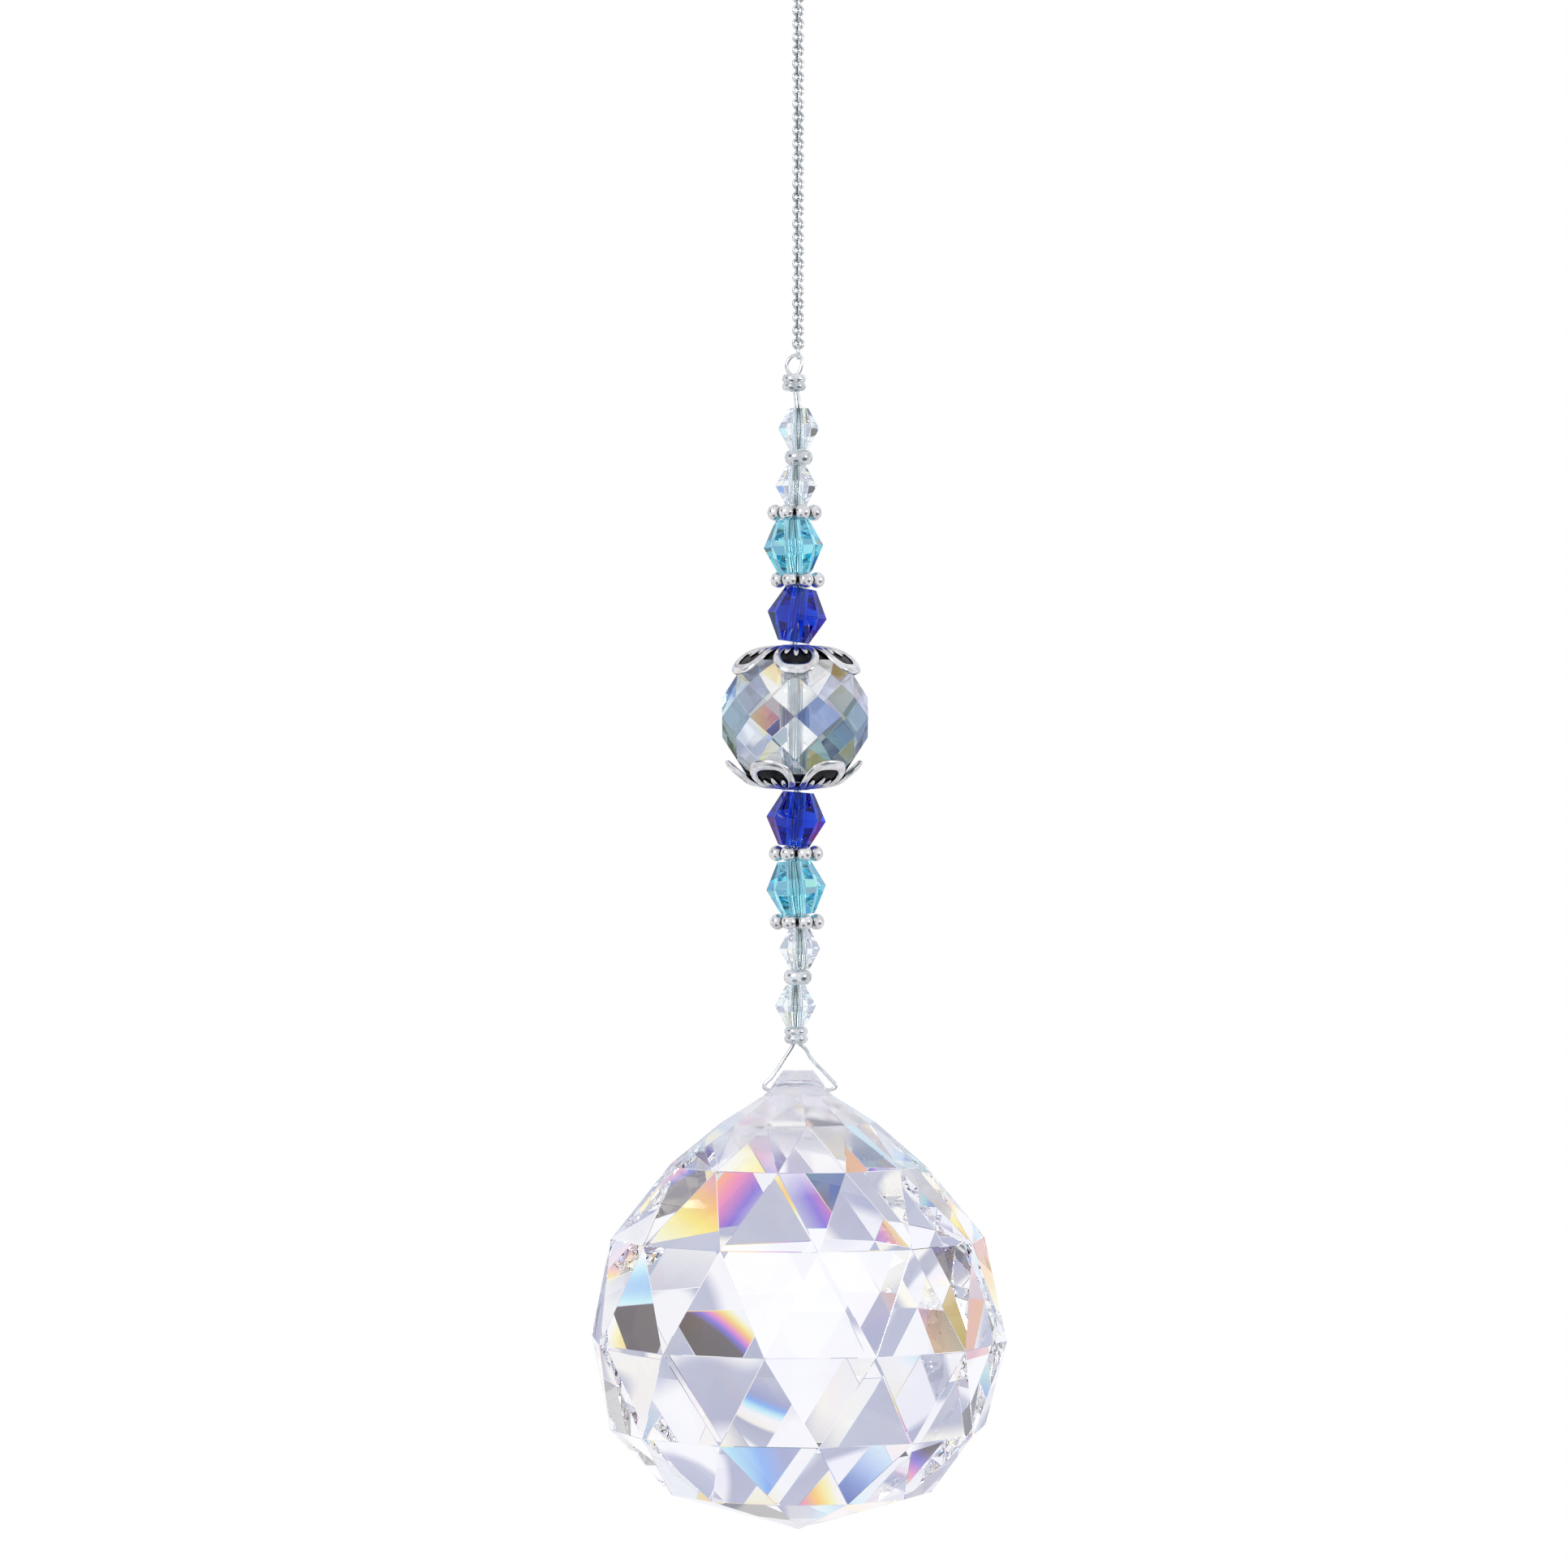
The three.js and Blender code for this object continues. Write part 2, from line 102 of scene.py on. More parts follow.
class NodeBoard:
    """The nodes of one material or light, with short ways to add the usual ones."""

    def __init__(self, tree: bpy.types.NodeTree) -> None:
        """Starts from a tree that already has its output."""
        self.tree = tree

    def add(self, kind: str, **settings: object) -> bpy.types.Node:
        """Adds a node.

        Args:
            kind: the node's type name.
            **settings: properties to set on it.

        Returns:
            The new node.
        """
        node = self.tree.nodes.new(kind)
        for name, value in settings.items():
            setattr(node, name, value)
        return node

    def join(self, out: bpy.types.NodeSocket, into: bpy.types.NodeSocket) -> None:
        """Links an output to an input."""
        self.tree.links.new(out, into)

    def object_space(self) -> bpy.types.NodeSocket:
        """Gives the piece's own coordinates."""
        return self.add("ShaderNodeTexCoord").outputs["Object"]

    def attribute(self, name: str) -> bpy.types.NodeSocket:
        """Gives the value of one of the piece's attributes."""
        return self.add("ShaderNodeAttribute", attribute_name=name).outputs["Fac"]

    def noise(self, scale: float, detail: float = 2.0, distortion: float = 0.0) -> bpy.types.NodeSocket:
        """Adds noise on the piece's own coordinates.

        Args:
            scale: features per metre.
            detail: how many finer layers it has.
            distortion: how much it swirls.

        Returns:
            The noise's value.
        """
        node = self.add("ShaderNodeTexNoise")
        node.inputs["Scale"].default_value = scale
        node.inputs["Detail"].default_value = detail
        node.inputs["Distortion"].default_value = distortion
        self.join(self.object_space(), node.inputs["Vector"])
        return node.outputs["Fac"]

    def ramp(self, value: bpy.types.NodeSocket, stops: Sequence[Stop]) -> bpy.types.NodeSocket:
        """Turns a value into a colour.

        Args:
            value: what to look up.
            stops: positions from 0 to 1, each with its colour.

        Returns:
            The colour.
        """
        node = self.add("ShaderNodeValToRGB")
        elements = node.color_ramp.elements
        while len(elements) < len(stops):
            elements.new(1.0)
        for element, (position, colour) in zip(elements, stops):
            element.position = position
            element.color = (*colour, 1.0)
        self.join(value, node.inputs["Fac"])
        return node.outputs["Color"]

    def span(self, value: bpy.types.NodeSocket, low: float, high: float) -> bpy.types.NodeSocket:
        """Stretches the middle of a noise over a range of numbers.

        Args:
            value: a noise's value.
            low: what its low places become.
            high: what its high places become.

        Returns:
            The new value.
        """
        node = self.add("ShaderNodeMapRange")
        for name, number in (("From Min", 0.3), ("From Max", 0.7), ("To Min", low), ("To Max", high)):
            node.inputs[name].default_value = number
        self.join(value, node.inputs["Value"])
        return node.outputs["Result"]

    def rise(self, foot: float, top: float, most: float) -> bpy.types.NodeSocket:
        """Makes a value that grows with the height on the piece.

        Args:
            foot: the height, in metres, up to which it is 0.
            top: the height, in metres, from which it is at its most.
            most: that value.

        Returns:
            The value.
        """
        axes = self.add("ShaderNodeSeparateXYZ")
        self.join(self.object_space(), axes.inputs["Vector"])
        node = self.add("ShaderNodeMapRange", interpolation_type="SMOOTHSTEP")
        for name, number in (("From Min", foot), ("From Max", top), ("To Max", most)):
            node.inputs[name].default_value = number
        self.join(axes.outputs["Z"], node.inputs["Value"])
        return node.outputs["Result"]

    def sum(
        self, first: bpy.types.NodeSocket, second: bpy.types.NodeSocket, share: float
    ) -> bpy.types.NodeSocket:
        """Adds a share of one value to another.

        Args:
            first: the value that is kept whole.
            second: the value that is scaled.
            share: the scale.

        Returns:
            The sum.
        """
        node = self.add("ShaderNodeMath", operation="MULTIPLY_ADD")
        node.inputs[1].default_value = share
        self.join(second, node.inputs[0])
        self.join(first, node.inputs[2])
        return node.outputs["Value"]

    def swing(self, value: bpy.types.NodeSocket) -> bpy.types.NodeSocket:
        """Makes a growing value run from 0 to 1 and back again, over and over.

        Args:
            value: the growing value.

        Returns:
            The swinging value.
        """
        node = self.add("ShaderNodeMath", operation="PINGPONG")
        node.inputs[1].default_value = 1.0
        self.join(value, node.inputs[0])
        return node.outputs["Value"]

    def bump(self, height: bpy.types.NodeSocket, strength: float, distance: float) -> bpy.types.NodeSocket:
        """Makes a bumped normal.

        Args:
            height: the relief.
            strength: how much of it shows.
            distance: its depth in metres.

        Returns:
            The normal.
        """
        node = self.add("ShaderNodeBump")
        node.inputs["Strength"].default_value = strength
        node.inputs["Distance"].default_value = distance
        self.join(height, node.inputs["Height"])
        return node.outputs["Normal"]


def new_material(name: str) -> tuple[bpy.types.Material, NodeBoard, bpy.types.Node]:
    """Starts a material.

    Args:
        name: the finish's name.

    Returns:
        The material, its board and its main shader.
    """
    material = bpy.data.materials.new(name)
    material.use_nodes = True
    return material, NodeBoard(material.node_tree), material.node_tree.nodes["Principled BSDF"]


@dataclass(frozen=True)
class MetalFinish:
    """Silver plate or casting: bright where it is rubbed, with painted shade in its hollows that on the
    casting also stands for oxide.
    """

    name: str
    bright: Colour
    dull: Colour
    patina_and_shade: Colour
    roughness: tuple[float, float]
    patch_scale: float = 900.0
    grain_scale: float = 6000.0
    grain_depth: float = 0.00001
    grain_strength: float = 0.25
    patina_and_shade_reach: float = 0.0008
    patina_and_shade_stops: tuple[float, float] = (0.3, 0.75)

    def material(self) -> bpy.types.Material:
        """Makes the material.

        Returns:
            The material.
        """
        material, board, shader = new_material(self.name)
        shader.inputs["Metallic"].default_value = 1.0
        patches = board.noise(self.patch_scale, detail=3.0)
        plate = board.ramp(patches, [(0.35, self.dull), (0.6, self.bright)])
        # Painted shade: ambient occlusion darkens hollows, creases and the gaps between parts; on the cast
        # silver it also stands for oxide.
        occlusion = board.add("ShaderNodeAmbientOcclusion", samples=8, only_local=True)
        occlusion.inputs["Distance"].default_value = self.patina_and_shade_reach
        low, high = self.patina_and_shade_stops
        share = board.ramp(occlusion.outputs["AO"], [(low, (0, 0, 0)), (high, (1, 1, 1))])
        blend = board.add("ShaderNodeMix", data_type="RGBA")
        board.join(share, blend.inputs["Factor"])
        blend.inputs["A"].default_value = (*self.patina_and_shade, 1.0)
        board.join(plate, blend.inputs["B"])
        board.join(blend.outputs["Result"], shader.inputs["Base Color"])
        board.join(board.span(patches, *self.roughness), shader.inputs["Roughness"])
        grain = board.noise(self.grain_scale)
        normal = board.bump(grain, self.grain_strength, self.grain_depth)
        board.join(normal, shader.inputs["Normal"])
        return material


@dataclass(frozen=True)
class GlassFinish:
    """Polished glass: clear or tinted, cut in flat facets that each have a tone of their own."""

    name: str
    tones: tuple[Stop, ...]
    ior: float
    facet_share: float = 0.6
    cloud_scale: float = 160.0
    absorption: Colour | None = None
    density: float = 0.0
    plating: float = 0.0
    frost: float = 0.0
    frost_heights: tuple[float, float] = (0.0, 1.0)

    def material(self) -> bpy.types.Material:
        """Makes the material, see-through by plain values on the shader.

        Returns:
            The material.
        """
        material, board, shader = new_material(self.name)
        shader.inputs["Transmission Weight"].default_value = 1.0
        shader.inputs["Roughness"].default_value = 0.0
        if self.frost:
            board.join(board.rise(*self.frost_heights, self.frost), shader.inputs["Roughness"])
        shader.inputs["IOR"].default_value = self.ior
        shader.inputs["Metallic"].default_value = self.plating
        cloud = board.span(board.noise(self.cloud_scale), 0.0, 1.0 - self.facet_share)
        value = board.sum(cloud, board.attribute(FACET_TONE), self.facet_share)
        board.join(board.ramp(value, self.tones), shader.inputs["Base Color"])
        if self.absorption:
            inside = board.add("ShaderNodeVolumeAbsorption")
            inside.inputs["Color"].default_value = (*self.absorption, 1.0)
            inside.inputs["Density"].default_value = self.density
            output = material.node_tree.nodes["Material Output"]
            board.join(inside.outputs["Volume"], output.inputs["Volume"])
        return material


# On the bright plate the darkened hollows and link crossings are painted shade only.
BRIGHT_SILVER = MetalFinish(
    "bright_silver_plate",
    bright=(0.9, 0.93, 0.93),
    dull=(0.55, 0.6, 0.61),
    patina_and_shade=(0.05, 0.065, 0.06),
    roughness=(0.08, 0.2),
    patch_scale=500.0,
    grain_scale=2500.0,
    grain_strength=0.1,
    patina_and_shade_reach=0.0006,
    patina_and_shade_stops=(0.3, 0.85),
)
ANTIQUE_SILVER = MetalFinish(
    "antiqued_silver_casting",
    bright=(0.95, 0.95, 0.94),
    dull=(0.72, 0.72, 0.71),
    patina_and_shade=(0.008, 0.008, 0.01),
    roughness=(0.1, 0.25),
    grain_scale=2500.0,
    grain_strength=0.15,
    grain_depth=0.00003,
    patina_and_shade_reach=0.001,
    patina_and_shade_stops=(0.45, 0.85),
)
# Painted shade: a near-black finish for the thin webs that fill the caps' openings and the gaps between
# their petals, where there is only shade.
PAINTED_SHADE_WEB = MetalFinish(
    "dark_web_painted_shade",
    bright=(0.03, 0.03, 0.033),
    dull=(0.008, 0.008, 0.01),
    patina_and_shade=(0.004, 0.004, 0.005),
    roughness=(0.3, 0.55),
)
# The crystal is colourless: its lavender and rose facet tones are painted reflections of the lit room
# round it.
CRYSTAL = GlassFinish(
    "cut_crystal",
    tones=(
        (0.0, (0.84, 0.85, 0.95)),
        (0.35, (0.95, 0.95, 1.0)),
        (0.7, (1.0, 1.0, 1.0)),
        (1.0, (0.97, 0.93, 0.94)),
    ),
    ior=1.54,
    cloud_scale=60.0,
    frost=0.11,
    frost_heights=(-0.1192, -0.1172),
)
CLEAR_GLASS = GlassFinish(
    "clear_bead_glass",
    tones=((0.0, (0.76, 0.92, 0.95)), (0.6, (0.98, 1.0, 1.0)), (1.0, (0.9, 0.98, 0.98))),
    ior=1.46,
)
SKY_GLASS = GlassFinish(
    "sky_bead_glass",
    tones=((0.0, (0.55, 0.88, 0.97)), (1.0, (0.95, 1.0, 1.0))),
    ior=1.48,
    absorption=(0.05, 0.82, 0.92),
    density=165.0,
)
COBALT_GLASS = GlassFinish(
    "cobalt_bead_glass",
    tones=((0.0, (0.12, 0.3, 0.9)), (1.0, (0.6, 0.82, 1.0))),
    ior=1.5,
    absorption=(0.0, 0.38, 0.9),
    density=850.0,
)
PLATED_GLASS = GlassFinish(
    "half_plated_glass",
    tones=(
        (0.0, (1.0, 0.98, 0.93)),
        (0.15, (0.99, 1.0, 1.0)),
        (0.3, (0.8, 0.88, 0.95)),
        (0.45, (0.66, 0.69, 0.88)),
        (0.6, (0.52, 0.42, 0.42)),
        (0.75, (0.17, 0.27, 0.6)),
        (0.88, (0.19, 0.32, 0.42)),
        (1.0, (0.26, 0.33, 0.28)),
    ),
    ior=1.5,
    facet_share=0.96,
    plating=0.25,
)

# ---- shapes ----------------------------------------------------------------------------------


def node_corners(node: str) -> tuple[Vector, Vector]:
    """Gives the lowest and highest corners of a node of the frame, in millimetres."""
    low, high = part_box(node)
    return low / MM, high / MM


def node_middle(node: str) -> Vector:
    """Gives the middle of a node of the frame, in millimetres."""
    low, high = node_corners(node)
    return (low + high) / 2


def node_points(node: str) -> list[Vector]:
    """Gives the corners of a node's own facets, in millimetres."""
    return [vertex.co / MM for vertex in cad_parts[node].data.vertices]


def made_of(out: dict, kind: type) -> list:
    """Picks one kind of element out of what an operator made."""
    return [element for element in out["geom"] if isinstance(element, kind)]


def tidy(shape: Shape, weld: float = 0.0005) -> Shape:
    """Closes a shape's seams and points its faces outwards.

    Args:
        shape: the shape.
        weld: how near two corners are to be one, in millimetres.

    Returns:
        The same shape.
    """
    bmesh.ops.remove_doubles(shape, verts=shape.verts[:], dist=weld)
    bmesh.ops.recalc_face_normals(shape, faces=shape.faces[:])
    return shape


def placed(shape: Shape, place: Matrix) -> Shape:
    """Moves a shape to its place, and gives the same shape back."""
    bmesh.ops.transform(shape, matrix=place, verts=shape.verts[:])
    return shape


def add_shape(whole: Shape, part: Shape, material_index: int = 0) -> None:
    """Adds one shape's faces to another and frees it.

    Args:
        whole: the shape that grows.
        part: the shape that is added.
        material_index: which of the piece's finishes it wears.
    """
    for face in part.faces:
        face.material_index = material_index
    mesh = bpy.data.meshes.new("part")
    part.to_mesh(mesh)
    part.free()
    whole.from_mesh(mesh)
    bpy.data.meshes.remove(mesh)


def spun(profile: Sequence[tuple[float, float]], steps: int) -> Shape:
    """Spins a closed profile round Z.

    Args:
        profile: points of radius and height.
        steps: how many steps the full turn has.

    Returns:
        The closed shape.
    """
    shape = bmesh.new()
    corners = [shape.verts.new((radius, 0, height)) for radius, height in profile]
    edges = [shape.edges.new(pair) for pair in zip(corners, corners[1:] + corners[:1])]
    bmesh.ops.spin(
        shape, geom=corners + edges, axis=UP, cent=(0, 0, 0), angle=FULL_TURN, steps=steps, use_merge=True
    )
    return tidy(shape)


def bent_wire(radius: float, wire: float, sides: int, steps: int, gap: float = 0.0) -> Shape:
    """Bends a round wire into a ring in the XZ plane.

    Args:
        radius: from the ring's middle to the wire's middle.
        wire: the wire's radius.
        sides: how many sides the wire has.
        steps: how many steps the ring has.
        gap: the angle that a fine cut leaves open, at the ring's side.

    Returns:
        The closed shape.
    """
    shape = bmesh.new()
    start = Matrix.Translation((radius, 0, 0)) @ Matrix.Rotation(QUARTER_TURN, 4, "X")
    start = Matrix.Rotation(gap / 2, 4, "Z") @ start
    bmesh.ops.create_circle(shape, cap_ends=gap > 0, segments=sides, radius=wire, matrix=start)
    geom = shape.verts[:] + shape.edges[:] + shape.faces[:]
    turn = FULL_TURN - gap
    bmesh.ops.spin(shape, geom=geom, axis=UP, cent=(0, 0, 0), angle=turn, steps=steps, use_merge=gap == 0)
    return placed(tidy(shape), Matrix.Rotation(QUARTER_TURN, 4, "X"))


def ball(radius: float, centre: Vector, subdivisions: int = 3) -> Shape:
    """Makes a small round ball.

    Args:
        radius: its radius.
        centre: its middle.
        subdivisions: how fine it is.

    Returns:
        The shape.
    """
    shape = bmesh.new()
    place = Matrix.Translation(centre)
    bmesh.ops.create_icosphere(shape, subdivisions=subdivisions, radius=radius, matrix=place)
    return shape


def cylinder(radius: float, depth: float, place: Matrix, segments: int = 36) -> Shape:
    """Makes a plain round cutter.

    Args:
        radius: its radius.
        depth: its length.
        place: where its middle goes, with its length along the place's own Z.
        segments: how many sides it has.

    Returns:
        The closed shape.
    """
    shape = bmesh.new()
    bmesh.ops.create_cone(
        shape, cap_ends=True, segments=segments, radius1=radius, radius2=radius, depth=depth, matrix=place
    )
    return shape


def smooth_path(points: Sequence[Vector], steps: int, closed: bool = False) -> list[Vector]:
    """Runs a smooth line through points.

    Args:
        points: what it passes through.
        steps: how many steps it takes between two of them.
        closed: whether it comes back to its start.

    Returns:
        The points of the line; a closed one doesn't repeat its first.
    """
    count = len(points)
    last = count if closed else count - 1

    def heading(i: int) -> Vector:
        """Gives the line's direction at a point.

        Args:
            i: the point's place in the list.

        Returns:
            The direction, one unit long.
        """
        before = points[(i - 1) % count] if closed or i > 0 else points[i]
        after = points[(i + 1) % count] if closed or i < count - 1 else points[i]
        return (after - before).normalized()

    line: list[Vector] = []
    for i in range(last):
        start, end = points[i], points[(i + 1) % count]
        pull = (end - start).length / 3
        handles = (start + heading(i) * pull, end - heading((i + 1) % count) * pull)
        line += interpolate_bezier(start, *handles, end, steps + 1)[:-1]
    return line if closed else [*line, points[-1]]


def swept(
    path: Sequence[Vector],
    normals: Sequence[Vector],
    widths: Sequence[float],
    heights: Sequence[float],
    sides: int,
    closed: bool = False,
) -> Shape:
    """Draws an oval bar along a path, ring after ring.

    Args:
        path: the bar's middle line.
        normals: which way its height points, for each point.
        widths: half its width, for each point.
        heights: half its height, for each point.
        sides: how many sides it has.
        closed: whether the last ring joins the first.

    Returns:
        The closed shape.
    """
    count = len(path)
    rings: list[Matrix] = []
    for i, (point, normal, width, height) in enumerate(zip(path, normals, widths, heights)):
        before = path[i - 1] if closed or i > 0 else point
        after = path[(i + 1) % count] if closed or i < count - 1 else point
        along = (after - before).normalized()
        side = normal.cross(along).normalized()
        lift = along.cross(side)
        axes = Matrix((side * width, lift * height, along)).transposed()
        rings.append(Matrix.Translation(point) @ axes.to_4x4())
    shape = bmesh.new()
    bmesh.ops.create_circle(shape, cap_ends=not closed, segments=sides, radius=1.0, matrix=rings[0])
    first = edges = shape.edges[:]
    for before, after in zip(rings, rings[1:]):
        out = bmesh.ops.extrude_edge_only(shape, edges=edges)
        edges = [edge for edge in made_of(out, bmesh.types.BMEdge) if len(edge.link_faces) == 1]
        corners = made_of(out, bmesh.types.BMVert)
        bmesh.ops.transform(shape, matrix=after @ before.inverted(), verts=corners)
    if closed:
        bmesh.ops.bridge_loops(shape, edges=first + edges)
    else:
        bmesh.ops.contextual_create(shape, geom=edges)
    return tidy(shape)


def hull(points: Sequence[Vector]) -> Shape:
    """Wraps points in flat facets.

    Args:
        points: the corners.

    Returns:
        The closed shape, each of its facets one face.
    """
    shape = bmesh.new()
    corners = [shape.verts.new(point) for point in points]
    bmesh.ops.remove_doubles(shape, verts=corners, dist=0.01)
    out = bmesh.ops.convex_hull(shape, input=shape.verts[:])
    inside = out["geom_unused"] + out["geom_interior"]
    loose = {element for element in inside if isinstance(element, bmesh.types.BMVert)}
    bmesh.ops.delete(shape, geom=[vert for vert in loose if vert.is_valid], context="VERTS")
    bmesh.ops.dissolve_limit(shape, angle_limit=ONE_FACET, verts=shape.verts[:], edges=shape.edges[:])
    return tidy(shape)


def chamfered(shape: Shape, width: float, sharper: float = math.radians(4)) -> Shape:
    """Takes the sharpness off a cut stone's edges.

    Args:
        shape: the stone.
        width: how wide the polished-off edge is.
        sharper: edges flatter than this angle are left alone.

    Returns:
        The same shape.
    """
    sharp = [edge for edge in shape.edges if edge.is_manifold and edge.calc_face_angle() > sharper]
    bmesh.ops.bevel(
        shape,
        geom=sharp,
        offset=width,
        offset_type="WIDTH",
        segments=1,
        profile=0.5,
        affect="EDGES",
        material=-1,
        clamp_overlap=True,
    )
    return shape


def combined(body: Shape, other: Shape, operation: str) -> Shape:
    """Cuts or joins two closed shapes, and frees them.

    Args:
        body: the first shape.
        other: the shape that is cut out of it or joined to it.
        operation: the Boolean modifier's name for it.

    Returns:
        The new shape.
    """
    objects = []
    for name, shape in (("body", body), ("other", other)):
        mesh = bpy.data.meshes.new(name)
        shape.to_mesh(mesh)
        shape.free()
        thing = bpy.data.objects.new(name, mesh)
        bpy.context.scene.collection.objects.link(thing)
        objects.append(thing)
    host, tool = objects
    modifier = host.modifiers.new("combine", "BOOLEAN")
    modifier.operation = operation
    modifier.solver = "EXACT"
    modifier.object = tool
    evaluated = host.evaluated_get(bpy.context.evaluated_depsgraph_get())
    result = bmesh.new()
    result.from_mesh(evaluated.to_mesh())
    for thing in objects:
        mesh = thing.data
        bpy.data.objects.remove(thing)
        bpy.data.meshes.remove(mesh)
    return result


# ---- pieces ----------------------------------------------------------------------------------


@dataclass
class Piece:
    """A visible piece that stands for one node of the frame."""

    node: str
    slot: Slot
    finishes: tuple[bpy.types.Material, ...]

    shading = Shading.CAST

    def shape(self) -> Shape:
        """Models the piece in millimetres, in its place."""
        raise NotImplementedError

    def make(self) -> bpy.types.Object:
        """Models the piece, dresses it and hands it to the frame.

        Returns:
            The finished object.
        """
        shape = placed(self.shape(), Matrix.Scale(MM, 4))
        mesh = bpy.data.meshes.new(f"{self.node}_finished")
        shape.to_mesh(mesh)
        shape.free()
        for material in self.finishes:
            mesh.materials.append(material)
        self.shade(mesh)
        piece = bpy.data.objects.new(f"{self.node}_finished", mesh)
        bpy.context.scene.collection.objects.link(piece)
        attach(piece, "root")
        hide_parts(self.node)
        LOG.info("%s: %d faces", piece.name, len(mesh.polygons))
        return piece

    def shade(self, mesh: bpy.types.Mesh) -> None:
        """Sets smooth faces or facets, and gives each facet a tone of its own.

        Args:
            mesh: the piece's mesh.
        """
        smooth = self.shading is not Shading.FACETED
        mesh.polygons.foreach_set("use_smooth", [smooth] * len(mesh.polygons))
        if smooth:
            mesh.set_sharp_from_angle(angle=self.shading.value)
            return
        tones = [self.tone(face.normal) for face in mesh.polygons]
        mesh.attributes.new(FACET_TONE, "FLOAT", "FACE").data.foreach_set("value", tones)

    def tone(self, normal: Vector) -> float:
        """Picks a facet's tone, from 0 to 1, by the way it faces."""
        return 0.5 + 0.5 * math.sin(normal.dot(TONE_WAVES))


@dataclass
class HangingRing(Piece):
    """The round jump ring that the suncatcher hangs by, with its fine cut at one side."""

    wire: float = 0.25
    cut: float = 0.012
    sides: int = 14
    steps: int = 96

    def shape(self) -> Shape:
        """Models the ring.

        Returns:
            The ring.
        """
        low, high = node_corners(self.node)
        radius = (high.z - low.z) / 2 - self.wire
        ring = bent_wire(radius, self.wire, self.sides, self.steps, gap=self.cut)
        return placed(ring, Matrix.Translation(node_middle(self.node)))


@dataclass
class Chain(Piece):
    """A fine cable chain of small round links, every other one nearly square to the front.

    The links near its ends are turned less than the twist, and touching links overlap by the bite.
    """

    links: int = 55
    wire: float = 0.14
    end_wire: float = 0.17
    end_radius: float = 0.62
    twist: float = math.radians(14)
    twisted_links: int = 3
    bite: float = 0.02
    sides: int = 8
    steps: int = 20

    def turn(self, i: int) -> float:
        """Gives the way a link faces, from its place in the chain.

        Args:
            i: its place, from 0 at the top.

        Returns:
            Its turn round the chain, in radians.
        """
        from_end = min(i, self.links - 1 - i)
        eased = self.twist * min(from_end, self.twisted_links) / self.twisted_links
        return (QUARTER_TURN if i % 2 == 0 else 0.0) + eased

    def shape(self) -> Shape:
        """Models every link where it hangs.

        Returns:
            The whole chain.
        """
        low, high = node_corners(self.node)
        end_reach = self.end_radius + self.end_wire
        first, last = high.z - end_reach, low.z + end_reach
        ends = self.end_radius - self.end_wire
        between = self.links - 2
        pitch = (first - last - 2 * ends) / between
        radius = pitch / 2 + self.wire + self.bite / 2
        end_pitch = ends + pitch / 2
        chain = bmesh.new()
        for i in range(self.links):
            is_end = i in (0, self.links - 1)
            size = (self.end_radius, self.end_wire) if is_end else (radius, self.wire)
            height = first - end_pitch - (i - 1) * pitch
            if is_end:
                height = first if i == 0 else last
            place = Matrix.Translation((0, 0, height)) @ Matrix.Rotation(self.turn(i), 4, "Z")
            add_shape(chain, placed(bent_wire(*size, self.sides, self.steps), place))
        return chain


@dataclass
class BeadingWire(Piece):
    """One closed run of soft wire: two strands through the beads and a loop at each end.

    In each bead the strands run straight over twice the straight share of its height, and at each
    mouth, counted from the middle of the crimp, they part into the loop.
    """

    threaded: tuple[tuple[str, float], ...] = ()
    radius: float = 0.18
    straight_share: float = 0.4
    top_mouth: float = 0.5
    bottom_mouth: float = 0.6
    sides: int = 10
    steps: int = 5

    def strand(self, side: int) -> list[Vector]:
        """Lists where one strand passes, from the bottom crimp up.

        Args:
            side: -1 for the left strand and 1 for the right one.

        Returns:
            Its points.
        """
        points: list[Vector] = []
        for node, lean in self.threaded:
            low, high = node_corners(node)
            reach = self.straight_share * (high.z - low.z)
            middle = (low + high) / 2
            swing = reach * math.tan(math.radians(lean))
            for way in (-1, 1):
                points.append(middle + Vector((side * self.radius + way * swing, 0, way * reach)))
        return points

    def top_loop(self) -> list[Vector]:
        """Lists where the loop passes that the chain's last link holds.

        Returns:
            Its points, from left to right.
        """
        crimp = node_middle("top_crimp")
        top = node_corners(self.node)[1].z - self.radius
        spots = [(-1.1, -1.3), (-0.85, -0.42), (0, 0), (0.36, -0.6), (0.2, -1.5)]
        height = crimp.z + self.top_mouth
        mouth = [Vector((crimp.x + side * self.radius, 0, height)) for side in (-1, 1)]
        return [mouth[0], *(Vector((x, 0, top + z)) for x, z in spots), mouth[1]]

    def bottom_loop(self) -> list[Vector]:
        """Lists where the loop through the ball's neck passes.

        Returns:
            Its points, from right to left.
        """
        crimp = node_middle("bottom_crimp")
        hole = node_corners(self.node)[0].z + self.radius
        right = [(0.65, 4.0), (1.35, 2.9), (3.2, 0.95), (3.6, 0.3), (2.8, 0)]
        left = [(0, 0), (-2.8, 0), (-3.3, 0.35), (-2.5, 1.25), (-1.2, 3.2)]
        height = crimp.z - self.bottom_mouth
        mouth = [Vector((crimp.x + side * self.radius, 0, height)) for side in (-1, 1)]
        return [mouth[1], *(Vector((x, 0, hole + z)) for x, z in right + left), mouth[0]]

    def shape(self) -> Shape:
        """Models the wire as one closed run.

        Returns:
            The wire.
        """
        up, down = self.strand(-1), self.strand(1)
        route = [*up, *self.top_loop(), *reversed(down), *self.bottom_loop()]
        path = smooth_path(route, self.steps, closed=True)
        count = len(path)
        sizes = [self.radius] * count
        return swept(path, [BACKWARDS] * count, sizes, sizes, sides=self.sides, closed=True)


